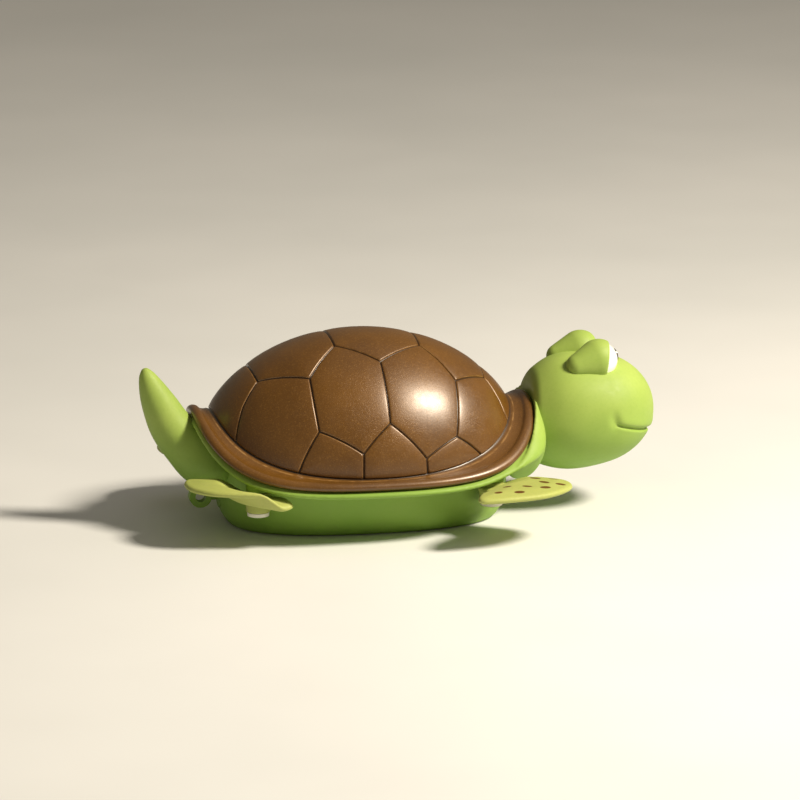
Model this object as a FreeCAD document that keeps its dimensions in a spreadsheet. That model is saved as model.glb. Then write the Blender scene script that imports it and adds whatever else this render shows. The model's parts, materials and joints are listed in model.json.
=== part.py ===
import FreeCAD, Part

import math
import os
import re

import Sketcher

# A floating pool thermometer in the shape of a turtle. Millimetres.
# +X is the way the head points, +Y is the turtle's left side and +Z is up.
# The origin is on the flat belly, under the middle of the shell.

os.makedirs("parts", exist_ok=True)
doc = FreeCAD.newDocument("pool_thermometer")
Vector = FreeCAD.Vector

# Driving dimensions: alias, value in mm (angles in degrees), meaning.
DIMENSIONS = [
    ("waterline", 22, "height of the water above the belly when the turtle floats"),
    ("square_power", 2.5, "power of the superellipse outlines: 2 is an ellipse"),
    # Rim and dome
    ("rim_half_length", 71.4, "rim outline along X"),
    ("rim_half_width", 58, "rim outline along Y"),
    ("rim_foot", 26.6, "top of the rim's bead at the sides"),
    ("rim_arch", 11.2, "half the height that the rim rises from its sides to its middle"),
    ("rim_arch_half_width", 61, "distance from the middle to the foot of the arch"),
    ("rim_bead_width", 4.5, "raised bead at the rim's edge"),
    ("rim_gutter_depth", 1.5, "how far the gutter lies below the bead"),
    ("rim_thickness", 3.5, "rim from the top of the bead to its underside"),
    ("dome_half_length", 69.5, "dome ellipsoid along X"),
    ("dome_half_width", 50.5, "dome ellipsoid along Y"),
    ("dome_height", 54.7, "dome ellipsoid along Z"),
    ("dome_centre_x", -0.5, "centre of the dome ellipsoid"),
    ("dome_centre_z", 24, "centre of the dome ellipsoid"),
    ("shell_wall", 2.4, "wall of the mouldings"),
    # Hull
    ("gasket_thickness", 1.2, "foam gasket between shell and hull"),
    ("lip_inset", 3, "hull lip inside the rim's outline"),
    ("lip_thickness", 2.5, "hull lip that carries the shell"),
    ("gasket_inset", 6.5, "outer edge of the gasket inside the rim's outline"),
    ("gasket_width", 3.5, "width of the gasket"),
    ("tub_half_length", 61, "hull wall at the waterline along X"),
    ("tub_half_width", 44, "hull wall at the waterline along Y"),
    ("tub_straight", 24, "height above which the tub's walls are upright"),
    ("tub_top", 55, "height of the tub before the arch cuts it down"),
    ("floor_thickness", 3, "hull floor"),
    # Thermometer bay in the belly
    ("bay_front", 49.5, "front end wall of the bay"),
    ("bay_rear", -49, "rear end wall of the bay"),
    ("bay_half_width", 12, "half the width of the bay"),
    ("bay_depth", 12, "height of the bay's ceiling above the belly"),
    ("bay_ceiling", 3, "thickness of the bay's ceiling"),
    ("bay_wall", 2.6, "thickness of the bay's walls"),
    # Shell screws, their posts and caps
    ("post_x", 36, "screw posts along X"),
    ("post_y", 21.5, "screw posts along Y"),
    ("post_radius", 5.4, "screw post in the hull"),
    ("post_top", 26.5, "where the hull's posts meet the shell's bosses"),
    ("recess_radius", 3.7, "recess for the screw head"),
    ("recess_top", 22, "height of the seat of the screw head"),
    ("screw_head_radius", 3.2, "pan head of the shell screw"),
    ("screw_head_height", 2.4, "pan head of the shell screw"),
    ("screw_radius", 1.5, "shank of the shell screw"),
    ("screw_tip", 38, "height of the tip of the shell screw"),
    ("screw_clearance", 0.2, "around the shank in the hull's post"),
    ("screw_hole_spare", 2, "boss hole beyond the tip of the shell screw"),
    ("screw_slot_width", 0.9, "driver slot of the shell screw"),
    ("screw_slot_depth", 1.2, "driver slot of the shell screw"),
    ("boss_radius", 4, "screw boss inside the shell"),
    ("cap_height", 3.2, "rubber plug in the mouth of the recess"),
    ("belly_inset", 0.6, "how far plugs and cover lie above the belly plane"),
    # Ballast
    ("weight_length", 20, "steel weight along X"),
    ("weight_width", 8, "steel weight along Y"),
    ("weight_height", 6, "steel weight along Z"),
    ("weight_x", 19, "weights along X"),
    ("weight_y", 21, "weights along Y"),
    ("weight_screw_radius", 1.25, "shank of the ballast screw"),
    ("weight_screw_head_radius", 2.4, "head of the ballast screw"),
    ("weight_screw_head_height", 1.6, "head of the ballast screw"),
    ("weight_screw_bite", 2.2, "how deep the ballast screw goes into the floor"),
    ("weight_clearance", 0.1, "around the ballast screw in its weight"),
    # Drain plug
    ("drain_y", -21, "drain plug along Y"),
    ("drain_radius", 4, "drain hole through the floor"),
    ("drain_boss_radius", 8.2, "thick ring around the drain hole"),
    ("drain_boss_top", 8, "top of that ring"),
    ("drain_head_radius", 6, "head of the drain plug"),
    ("drain_head_height", 2, "head of the drain plug"),
    ("drain_seal_radius", 0.5, "section of the drain plug's O-ring"),
    ("drain_seal_ring", 5.2, "mean radius of the drain plug's O-ring"),
    ("drain_clearance", 0.05, "between the drain plug's stem and its hole"),
    ("drain_head_gap", 0.3, "around the head of the drain plug"),
    ("drain_grip_length", 5, "finger slots in the drain plug's head"),
    ("drain_grip_width", 1.6, "finger slots in the drain plug's head"),
    ("drain_grip_depth", 1.2, "finger slots in the drain plug's head"),
    ("drain_grip_offset", 2.6, "finger slots from the middle of the head"),
    # Neck and head
    ("neck_z", 30, "axis of the neck joint"),
    ("sleeve_radius", 15, "outside of the hull's neck sleeve"),
    ("sleeve_bore", 12.05, "inside of the hull's neck sleeve"),
    ("sleeve_rear", 52, "inner end of the neck sleeve"),
    ("sleeve_front", 69.6, "outer end of the neck sleeve"),
    ("spigot_radius", 12, "spigot of the head"),
    ("spigot_bore", 9.5, "inside of the spigot"),
    ("spigot_rear", 48.5, "inner end of the spigot"),
    ("seal_x", 60, "position of the neck O-ring"),
    ("seal_radius", 0.75, "section of the neck O-ring"),
    ("seal_clearance", 0.05, "between the O-ring and the floor of its groove"),
    ("seal_groove_width", 2.4, "groove of the neck O-ring"),
    ("retainer_width", 2.4, "ring that locks the head"),
    ("retainer_radius", 14.4, "outside of that ring"),
    ("retainer_gap", 0.1, "between that ring and the sleeve"),
    ("neck_start_radius", 15.05, "neck where it leaves the hull"),
    ("neck_end_radius", 14, "neck inside the head"),
    ("neck_end_x", 92, "end of the neck cone"),
    ("head_x", 98, "centre of the head"),
    ("head_z", 40.8, "centre of the head"),
    ("head_half_length", 26, "head along X"),
    ("head_half_width", 25, "head along Y"),
    ("head_half_height", 23.2, "head along Z"),
    ("head_turn", 10, "how far the head looks towards the turtle's left"),
    # Eyes
    ("eye_x", 97.7, "centre of the eyeball"),
    ("eye_y", 9.5, "centre of the eyeball"),
    ("eye_z", 63, "centre of the eyeball"),
    ("eye_radius", 7.9, "eyeball"),
    ("hood_radius", 8.7, "hood over the eyeball"),
    ("hood_front", 101, "front edge of the hood"),
    ("brow_back", 6, "brow behind the eyeball's centre"),
    ("brow_drop", 2.5, "brow below the eyeball's centre"),
    ("brow_half_length", 11, "brow along X"),
    ("brow_half_width", 6.5, "brow along Y"),
    ("brow_half_height", 7, "brow along Z"),
    ("pupil_lift", 1.5, "pupil above the eyeball's centre"),
    ("pupil_radius", 2.7, "pupil disc"),
    ("pupil_thickness", 0.4, "pupil disc"),
    # Tail
    ("tail_root_x", -61.2, "face where the tail meets the hull"),
    ("tail_spigot_radius", 5, "spigot of the tail"),
    ("tail_spigot_end", -52, "inner end of that spigot"),
    ("tail_boss_radius", 8, "thick ring around the tail's hole"),
    ("tail_z", 31, "axis of the tail's spigot"),
    # Tether eye
    ("eyelet_x", -67.5, "centre of the eyelet"),
    ("eyelet_z", 11, "centre of the eyelet"),
    ("eyelet_bore", 2.2, "hole for a tether"),
    ("eyelet_radius", 4.6, "outside of the eyelet"),
    ("eyelet_width", 4, "eyelet along its hole"),
    ("eyelet_stem_radius", 1.8, "stem that is pressed into the hull"),
    ("eyelet_stem_end", -54, "inner end of the stem"),
    ("eyelet_boss_face", -60, "face of the pad around the stem"),
    ("boss_end_wall", 1.5, "closed inner end of a blind boss"),
    ("eyelet_boss_radius", 5, "thick pad around the stem"),
    # Flippers
    ("peg_radius", 2.5, "pegs under the hull lip that the flippers turn on"),
    ("peg_bottom", 10.4, "lower end of the pegs"),
    ("peg_shoulder_radius", 5, "shoulder above the flipper's hub"),
    ("peg_shoulder", 21.4, "height of that shoulder"),
    ("hub_radius", 5, "hub of a flipper"),
    ("hub_bore", 2.55, "bore of the hub, 0.05 mm clear of the peg"),
    ("hub_bottom", 12.7, "underside of the hub"),
    ("hub_top", 21.2, "top of the hub"),
    ("washer_radius", 4.5, "push-on washer under the hub"),
    ("washer_thickness", 1.4, "push-on washer under the hub"),
    ("washer_top", 12.5, "top of the washer"),
    ("front_peg_x", 47, "peg of a front flipper"),
    ("front_peg_y", 39.5, "peg of a front flipper"),
    ("rear_peg_x", -50, "peg of a rear flipper"),
    ("rear_peg_y", 37.5, "peg of a rear flipper"),
    # Thermometer
    ("tube_radius", 3, "glass tube"),
    ("tube_bore", 0.8, "capillary of the glass tube"),
    ("bulb_bore", 2.2, "bulb cavity of the glass tube"),
    ("tube_half_length", 42, "glass tube along X"),
    ("bulb_length", 9, "bulb cavity along X"),
    ("tube_end_wall", 1.2, "closed ends of the glass tube"),
    ("spirit_length", 46, "spirit in the capillary beyond the bulb"),
    ("tube_z", 7, "axis of the glass tube"),
    ("plate_half_length", 46, "scale plate along X"),
    ("plate_half_width", 10.5, "scale plate along Y"),
    ("plate_thickness", 1.2, "scale plate"),
    ("plate_screw_x", 43.5, "screws of the scale plate"),
    ("plate_screw_y", 7, "screws of the scale plate"),
    ("plate_screw_radius", 1, "shank of the scale plate's screws"),
    ("plate_screw_head_radius", 1.9, "head of the scale plate's screws"),
    ("plate_screw_head_height", 1.1, "head of the scale plate's screws"),
    ("plate_screw_bite", 2.4, "how deep those screws go into the ceiling"),
    ("saddle_x", 30, "saddles that hold the tube"),
    ("saddle_length", 4, "saddle along X"),
    ("saddle_half_width", 4.6, "saddle along Y"),
    ("saddle_bottom", 5.2, "lower end of a saddle"),
    # Cover of the bay
    ("hinge_x", 46.2, "hinge pin of the cover"),
    ("hinge_z", 3.6, "hinge pin of the cover"),
    ("hinge_pin_radius", 1, "hinge pin of the cover"),
    ("hinge_pin_bite", 1.5, "how far the pin's ends go into the bay's walls"),
    ("hinge_bore", 1.05, "bore of the cover's knuckle, 0.05 mm clear of the pin"),
    ("knuckle_radius", 2.4, "knuckle of the cover"),
    ("cover_thickness", 2, "cover of the bay"),
    ("cover_rear", -48.5, "free end of the cover"),
    ("cover_half_width", 11.6, "cover along Y"),
    ("cover_slots", 7, "pairs of water slots in the cover"),
    ("slot_start", -42, "rear edge of the first pair of slots"),
    ("slot_end", -39.4, "front edge of the first pair of slots"),
    ("slot_run", 76, "distance from the first pair of slots to the last"),
    ("slot_inner", 2, "inner end of a slot"),
    ("slot_outer", 9, "outer end of a slot"),
]

sheet = doc.addObject("Spreadsheet::Sheet", "Size")
for row, (alias, value, meaning) in enumerate(DIMENSIONS, start=1):
    sheet.set(f"A{row}", alias)
    sheet.set(f"B{row}", str(value))
    sheet.set(f"C{row}", meaning)
    sheet.setAlias(f"B{row}", alias)
doc.recompute()
ALIASES = {alias for alias, _, _ in DIMENSIONS}


def cell(alias):
    """The number in one cell of the sheet."""
    return float(sheet.get(alias))


def rule(text):
    """Turns a formula written with bare aliases into an expression on the sheet."""
    return re.sub(r"[a-z_]+", lambda word: "Size." + word[0] if word[0] in ALIASES else word[0], str(text))


def bind(thing, **rules):
    """Binds properties of an object to formulas on the sheet."""
    for name, text in rules.items():
        thing.setExpression(name, rule(text))


def place(thing, x=0, y=0, z=0, axis=None):
    """Binds an object's position, and lays its own Z axis along X or Y if asked."""
    if axis == "X":
        thing.Placement.Rotation = FreeCAD.Rotation(Vector(0, 1, 0), 90)
    if axis == "Y":
        thing.Placement.Rotation = FreeCAD.Rotation(Vector(1, 0, 0), -90)
    bind(thing, **{"Placement.Base.x": x, "Placement.Base.y": y, "Placement.Base.z": z})
    return thing


def cylinder(name, radius, height, x=0, y=0, z=0, axis=None):
    thing = doc.addObject("Part::Cylinder", name)
    bind(thing, Radius=radius, Height=height)
    return place(thing, x, y, z, axis)


def cone(name, radius_1, radius_2, height, x=0, y=0, z=0, axis=None):
    thing = doc.addObject("Part::Cone", name)
    bind(thing, Radius1=radius_1, Radius2=radius_2, Height=height)
    return place(thing, x, y, z, axis)


def box(name, length, width, height, x=0, y=0, z=0):
    """A box whose corner of least x, y and z is at the given point."""
    thing = doc.addObject("Part::Box", name)
    bind(thing, Length=length, Width=width, Height=height)
    return place(thing, x, y, z)


def ellipsoid(name, half_x, half_y, half_z, x=0, y=0, z=0):
    thing = doc.addObject("Part::Ellipsoid", name)
    bind(thing, Radius1=half_z, Radius2=half_x, Radius3=half_y)
    return place(thing, x, y, z)


def sphere(name, radius, x=0, y=0, z=0):
    thing = doc.addObject("Part::Sphere", name)
    bind(thing, Radius=radius)
    return place(thing, x, y, z)


def torus(name, ring_radius, section_radius, x=0, y=0, z=0, axis=None):
    thing = doc.addObject("Part::Torus", name)
    bind(thing, Radius1=ring_radius, Radius2=section_radius)
    return place(thing, x, y, z, axis)


def fuse(name, *pieces):
    thing = doc.addObject("Part::MultiFuse", name)
    thing.Shapes = list(pieces)
    return thing


def common(name, *pieces):
    thing = doc.addObject("Part::MultiCommon", name)
    thing.Shapes = list(pieces)
    return thing


def cut(name, base, *tools):
    thing = doc.addObject("Part::Cut", name)
    thing.Base = base
    thing.Tool = tools[0] if len(tools) == 1 else fuse(name + "_tools", *tools)
    return thing


def group(name, *pieces):
    """Separate solids that share one node."""
    thing = doc.addObject("Part::Compound", name)
    thing.Links = list(pieces)
    return thing


def mirror(name, source):
    """The left-hand copy of a right-hand piece, across the XZ plane."""
    thing = doc.addObject("Part::Mirroring", name)
    thing.Source = source
    thing.Normal = Vector(0, 1, 0)
    return thing


def feature(name, shape):
    """A piece whose shape is worked out by Part's own functions."""
    thing = doc.addObject("Part::Feature", name)
    thing.Shape = shape
    return thing


# Outlines and surfaces that have no primitive: superellipses and the arch of the rim.

OUTLINE_STEPS = 48
ARCH_STEPS = 24
# Half-size and height of the shapes that only cut others down: larger than the turtle.
REACH = 90
TOP = 120
# The tub's rounded foot: height above its underside, and how much shorter and narrower it is there.
TUB_SECTIONS = [(0, 5, 10), (4, 2.4, 6), (12, 0.7, 2)]


def superellipse(half_length, half_width, level):
    """A closed plan outline at one height, between an ellipse and a rectangle."""
    power = 2 / cell("square_power")
    points = []
    for step in range(OUTLINE_STEPS):
        turn = 2 * math.pi * step / OUTLINE_STEPS
        cosine = math.cos(turn)
        sine = math.sin(turn)
        x = math.copysign(abs(cosine) ** power, cosine) * half_length
        y = math.copysign(abs(sine) ** power, sine) * half_width
        points.append(Vector(x, y, level))
    curve = Part.BSplineCurve()
    curve.interpolate(points, PeriodicFlag=True)
    return Part.Wire([curve.toShape()])


def prism(name, inset):
    """Everything inside the rim's outline moved in by inset, from the belly up."""
    wire = superellipse(cell("rim_half_length") - inset, cell("rim_half_width") - inset, 0)
    return feature(name, Part.Face(wire).extrude(Vector(0, 0, TOP)))


def below_arch(name, drop):
    """Everything under the arched surface that lies drop below the top of the rim's bead."""
    foot = cell("rim_foot") - drop
    half_width = cell("rim_arch_half_width")
    points = []
    for step in range(ARCH_STEPS + 1):
        y = half_width * (2 * step / ARCH_STEPS - 1)
        rise = cell("rim_arch") * (1 + math.cos(math.pi * y / half_width))
        points.append(Vector(-REACH, y, foot + rise))
    curve = Part.BSplineCurve()
    curve.interpolate(points)
    corners = [
        points[-1],
        Vector(-REACH, REACH, foot),
        Vector(-REACH, REACH, -REACH),
        Vector(-REACH, -REACH, -REACH),
        Vector(-REACH, -REACH, foot),
        points[0],
    ]
    wire = Part.Wire([curve.toShape(), *Part.makePolygon(corners).Edges])
    return feature(name, Part.Face(wire).extrude(Vector(2 * REACH, 0, 0)))


def tub(name, inset, floor):
    """The hull's tub, moved in by inset, with its underside at floor."""
    half_length = cell("tub_half_length") - inset
    half_width = cell("tub_half_width") - inset
    wires = []
    for height, shorter, narrower in TUB_SECTIONS:
        wires.append(superellipse(half_length - shorter, half_width - narrower, floor + height))
    for level in (cell("tub_straight"), cell("tub_top")):
        wires.append(superellipse(half_length, half_width, level))
    return feature(name, Part.makeLoft(wires, True, False))


SIDES = [(1, 1), (1, -1), (-1, 1), (-1, -1)]
gasket_bottom = cell("rim_thickness") + cell("gasket_thickness")
lip_bottom = gasket_bottom + cell("lip_thickness")

under_bead = below_arch("under_bead", 0)
under_gutter = below_arch("under_gutter", cell("rim_gutter_depth"))
under_rim = below_arch("under_rim", cell("rim_thickness"))
under_gasket = below_arch("under_gasket", gasket_bottom)
under_lip = below_arch("under_lip", lip_bottom)


def carapace():
    """The shell: a hollow dome on an arched rim with a raised bead, and four screw bosses."""
    dome = {"x": "dome_centre_x", "z": "dome_centre_z"}
    half_sizes = ["dome_half_length", "dome_half_width", "dome_height"]
    outside = ellipsoid("dome_outside", *half_sizes, **dome)
    inside = ellipsoid("dome_inside", *[size + " - shell_wall" for size in half_sizes], **dome)
    rim = common("rim_slab", prism("rim_prism", 0), under_bead)
    gutter = common("gutter_prism", prism("gutter_outline", cell("rim_bead_width")), under_bead)
    rim_with_gutter = cut("rim_with_gutter", rim, cut("gutter_space", gutter, under_gutter))
    hollow = cut("hollow_shell", fuse("dome_and_rim", outside, rim_with_gutter), inside, under_rim)
    posts = []
    holes = []
    hole_depth = "screw_tip - post_top + screw_hole_spare"
    for index, (side_x, side_y) in enumerate(SIDES):
        spot = {"x": f"{side_x} * post_x", "y": f"{side_y} * post_y", "z": "post_top"}
        posts.append(cylinder(f"shell_boss_{index}", "boss_radius", "dome_height", **spot))
        holes.append(cylinder(f"shell_boss_hole_{index}", "screw_radius", hole_depth, **spot))
    bosses = common("shell_bosses", fuse("shell_boss_rods", *posts), outside)
    return cut("carapace", fuse("shell_with_bosses", hollow, bosses), *holes)


def shell_gasket():
    """A foam ring between the shell's rim and the hull's lip."""
    outer = prism("gasket_outer", cell("gasket_inset"))
    inner = prism("gasket_inner", cell("gasket_inset") + cell("gasket_width"))
    ring = cut("gasket_ring", outer, inner)
    return cut("shell_gasket", common("gasket_slab", ring, under_rim), under_gasket)


def hull():
    """The lower body: a tub with a lip, a bay in its belly, a neck sleeve and pegs."""
    tub_inside = tub("tub_inside", cell("shell_wall"), cell("floor_thickness"))
    shell = cut("tub_shell", tub("tub_outside", 0, 0), tub_inside)
    lip_opening = tub("lip_opening", cell("shell_wall"), 0)
    lip_plan = cut("lip_plan", prism("lip_outline", cell("lip_inset")), lip_opening)
    lip = cut("lip", common("lip_slab", lip_plan, under_gasket), under_lip)
    added = [shell]
    removed = []
    added.append(
        box(
            "bay_block",
            "bay_front - bay_rear + 2 * bay_wall",
            "2 * (bay_half_width + bay_wall)",
            "bay_depth + bay_ceiling",
            x="bay_rear - bay_wall",
            y="-bay_half_width - bay_wall",
        )
    )
    bay_corner = {"x": "bay_rear", "y": "-bay_half_width"}
    removed.append(box("bay", "bay_front - bay_rear", "2 * bay_half_width", "bay_depth", **bay_corner))
    removed.append(
        cylinder(
            "hinge_pin_hole",
            "hinge_pin_radius",
            "2 * (bay_half_width + hinge_pin_bite)",
            x="hinge_x",
            y="-bay_half_width - hinge_pin_bite",
            z="hinge_z",
            axis="Y",
        )
    )
    for index, (side_x, side_y) in enumerate(SIDES):
        post = {"x": f"{side_x} * post_x", "y": f"{side_y} * post_y"}
        added.append(cylinder(f"post_{index}", "post_radius", "post_top", **post))
        removed.append(cylinder(f"post_recess_{index}", "recess_radius", "recess_top", **post))
        removed.append(cylinder(f"post_hole_{index}", "screw_radius + screw_clearance", "post_top", **post))
        weight = {"x": f"{side_x} * weight_x", "y": f"{side_y} * weight_y"}
        removed.append(
            cylinder(
                f"weight_hole_{index}",
                "weight_screw_radius",
                "weight_screw_bite",
                z="floor_thickness - weight_screw_bite",
                **weight,
            )
        )
        plate = {"x": f"{side_x} * plate_screw_x", "y": f"{side_y} * plate_screw_y"}
        plate_hole = f"plate_hole_{index}"
        removed.append(cylinder(plate_hole, "plate_screw_radius", "plate_screw_bite", z="bay_depth", **plate))
    added.append(cylinder("drain_boss", "drain_boss_radius", "drain_boss_top", y="drain_y"))
    removed.append(cylinder("drain_hole", "drain_radius", "drain_boss_top", y="drain_y"))
    removed.append(
        cylinder(
            "drain_recess",
            "drain_head_radius + drain_head_gap",
            "belly_inset + drain_head_height + 2 * drain_seal_radius",
            y="drain_y",
        )
    )
    sleeve_spot = {"x": "sleeve_rear", "z": "neck_z", "axis": "X"}
    sleeve_length = "sleeve_front - sleeve_rear"
    added.append(cylinder("neck_sleeve", "sleeve_radius", sleeve_length, **sleeve_spot))
    removed.append(cylinder("neck_bore", "sleeve_bore", sleeve_length, **sleeve_spot))
    tail_spot = {"x": "tail_root_x", "z": "tail_z", "axis": "X"}
    tail_boss_length = "tail_spigot_end - tail_root_x + boss_end_wall"
    added.append(cylinder("tail_boss", "tail_boss_radius", tail_boss_length, **tail_spot))
    removed.append(cylinder("tail_bore", "tail_spigot_radius", "tail_spigot_end - tail_root_x", **tail_spot))
    added.append(
        cylinder(
            "eyelet_boss",
            "eyelet_boss_radius",
            "eyelet_stem_end - eyelet_boss_face + boss_end_wall",
            x="eyelet_boss_face",
            z="eyelet_z",
            axis="X",
        )
    )
    stem_spot = {"x": "eyelet_x", "z": "eyelet_z", "axis": "X"}
    removed.append(cylinder("eyelet_bore", "eyelet_stem_radius", "eyelet_stem_end - eyelet_x", **stem_spot))
    for end in ("front", "rear"):
        for side in (1, -1):
            spot = {"x": f"{end}_peg_x", "y": f"{side} * {end}_peg_y"}
            tag = f"{end}_{'left' if side > 0 else 'right'}"
            peg_length = "waterline - peg_bottom"
            added.append(cylinder(f"peg_{tag}", "peg_radius", peg_length, z="peg_bottom", **spot))
            shoulder = f"peg_shoulder_{tag}"
            added.append(cylinder(shoulder, "peg_shoulder_radius", "rim_arch", z="peg_shoulder", **spot))
    body = common("hull_under_gasket", fuse("hull_added", *added), under_gasket)
    return cut("hull", fuse("hull_with_lip", body, lip), *removed)


def shell_screws():
    """Four pan-head screws that come up through the hull's posts into the shell."""
    screws = []
    for index, (side_x, side_y) in enumerate(SIDES):
        spot = {"x": f"{side_x} * post_x", "y": f"{side_y} * post_y"}
        head = cylinder(
            f"shell_screw_head_{index}",
            "screw_head_radius",
            "screw_head_height",
            z="recess_top - screw_head_height",
            **spot,
        )
        shank = cylinder(
            f"shell_screw_shank_{index}",
            "screw_radius",
            "screw_tip - recess_top + screw_head_height",
            z="recess_top - screw_head_height",
            **spot,
        )
        socket = box(
            f"shell_screw_slot_{index}",
            "2 * screw_head_radius",
            "screw_slot_width",
            "screw_slot_depth",
            x=f"{side_x} * post_x - screw_head_radius",
            y=f"{side_y} * post_y - screw_slot_width / 2",
            z="recess_top - screw_head_height",
        )
        screws.append(cut(f"shell_screw_{index}", fuse(f"shell_screw_blank_{index}", head, shank), socket))
    return group("shell_screws", *screws)


def screw_caps():
    """Four rubber plugs that close the screw recesses in the belly."""
    caps = []
    for index, (side_x, side_y) in enumerate(SIDES):
        spot = {"x": f"{side_x} * post_x", "y": f"{side_y} * post_y"}
        caps.append(cylinder(f"screw_cap_{index}", "recess_radius", "cap_height", z="belly_inset", **spot))
    return group("screw_caps", *caps)


def ballast_weights():
    """Four steel blocks on the hull's floor, which keep the turtle upright."""
    weights = []
    for index, (side_x, side_y) in enumerate(SIDES):
        block = box(
            f"weight_{index}",
            "weight_length",
            "weight_width",
            "weight_height",
            x=f"{side_x} * weight_x - weight_length / 2",
            y=f"{side_y} * weight_y - weight_width / 2",
            z="floor_thickness",
        )
        hole = cylinder(
            f"weight_bore_{index}",
            "weight_screw_radius + weight_clearance",
            "weight_height",
            x=f"{side_x} * weight_x",
            y=f"{side_y} * weight_y",
            z="floor_thickness",
        )
        weights.append(cut(f"drilled_weight_{index}", block, hole))
    return group("ballast_weights", *weights)


def ballast_screws():
    """One screw through each weight into the floor."""
    screws = []
    for index, (side_x, side_y) in enumerate(SIDES):
        spot = {"x": f"{side_x} * weight_x", "y": f"{side_y} * weight_y"}
        shank = cylinder(
            f"ballast_shank_{index}",
            "weight_screw_radius",
            "weight_screw_bite + weight_height + weight_screw_head_height",
            z="floor_thickness - weight_screw_bite",
            **spot,
        )
        head = cylinder(
            f"ballast_head_{index}",
            "weight_screw_head_radius",
            "weight_screw_head_height",
            z="floor_thickness + weight_height",
            **spot,
        )
        screws.append(fuse(f"ballast_screw_{index}", shank, head))
    return group("ballast_screws", *screws)


def drain_plug():
    """A plug that is pulled out of the belly to let water out."""
    head = cylinder("drain_head", "drain_head_radius", "drain_head_height", y="drain_y", z="belly_inset")
    stem_height = "drain_boss_top - belly_inset"
    stem = cylinder("drain_stem", "drain_radius - drain_clearance", stem_height, y="drain_y", z="belly_inset")
    grips = []
    for side in (1, -1):
        grips.append(
            box(
                f"drain_grip_{'left' if side > 0 else 'right'}",
                "drain_grip_length",
                "drain_grip_width",
                "drain_grip_depth",
                x="-drain_grip_length / 2",
                y=f"drain_y + {side} * drain_grip_offset - drain_grip_width / 2",
                z="belly_inset",
            )
        )
    return cut("drain_plug", fuse("drain_blank", head, stem), *grips)


def drain_seal():
    """The O-ring under the head of the drain plug."""
    return torus(
        "drain_seal",
        "drain_seal_ring",
        "drain_seal_radius",
        y="drain_y",
        z="belly_inset + drain_head_height + drain_seal_radius",
    )


HEAD_CENTRE = {"x": "head_x", "z": "head_z"}
HEAD_HALF_SIZES = ["head_half_length", "head_half_width", "head_half_height"]


def turned(name, straight):
    """A piece of the head, turned with it about the upright line through the head's centre."""
    thing = group(name, straight)
    thing.Placement.Rotation = FreeCAD.Rotation(Vector(0, 0, 1), cell("head_turn"))
    return place(thing, x="head_x * (1 - cos(head_turn))", y="-head_x * sin(head_turn)")


def head(skull):
    """A hollow head with its neck and a spigot that plugs into the hull's sleeve."""
    inside_sizes = [size + " - shell_wall" for size in HEAD_HALF_SIZES]
    skull_inside = turned("skull_inside", ellipsoid("skull_inside_straight", *inside_sizes, **HEAD_CENTRE))
    neck_spot = {"x": "sleeve_front", "z": "neck_z", "axis": "X"}
    neck_length = "neck_end_x - sleeve_front"
    neck = cone("neck", "neck_start_radius", "neck_end_radius", neck_length, **neck_spot)
    neck_inside = cone("neck_inside", "spigot_bore", "neck_end_radius - shell_wall", neck_length, **neck_spot)
    spigot_spot = {"x": "spigot_rear", "z": "neck_z", "axis": "X"}
    spigot = cylinder("spigot", "spigot_radius", "neck_end_x - spigot_rear", **spigot_spot)
    spigot_inside = cylinder("spigot_inside", "spigot_bore", "neck_end_x - spigot_rear", **spigot_spot)
    groove_spot = {"x": "seal_x - seal_groove_width / 2", "z": "neck_z", "axis": "X"}
    rim_radius = "spigot_radius + seal_radius"
    groove_outer = cylinder("seal_groove_outer", rim_radius, "seal_groove_width", **groove_spot)
    floor_radius = "sleeve_bore - 2 * seal_radius - seal_clearance"
    groove_floor = cylinder("seal_groove_floor", floor_radius, "seal_groove_width", **groove_spot)
    groove = cut("seal_groove", groove_outer, groove_floor)
    outside = fuse("head_outside", turned("skull_turned", skull), neck, spigot)
    return cut("head", outside, fuse("head_inside", skull_inside, neck_inside, spigot_inside), groove)


def neck_seal():
    """The O-ring that seals the head's spigot in the sleeve."""
    return torus("neck_seal", "sleeve_bore - seal_radius", "seal_radius", x="seal_x", z="neck_z", axis="X")


def neck_retainer():
    """A ring on the end of the spigot that keeps the head from pulling out."""
    spot = {"x": "sleeve_rear - retainer_width - retainer_gap", "z": "neck_z", "axis": "X"}
    outer = cylinder("retainer_outer", "retainer_radius", "retainer_width", **spot)
    return cut("neck_retainer", outer, cylinder("retainer_bore", "spigot_radius", "retainer_width", **spot))


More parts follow.
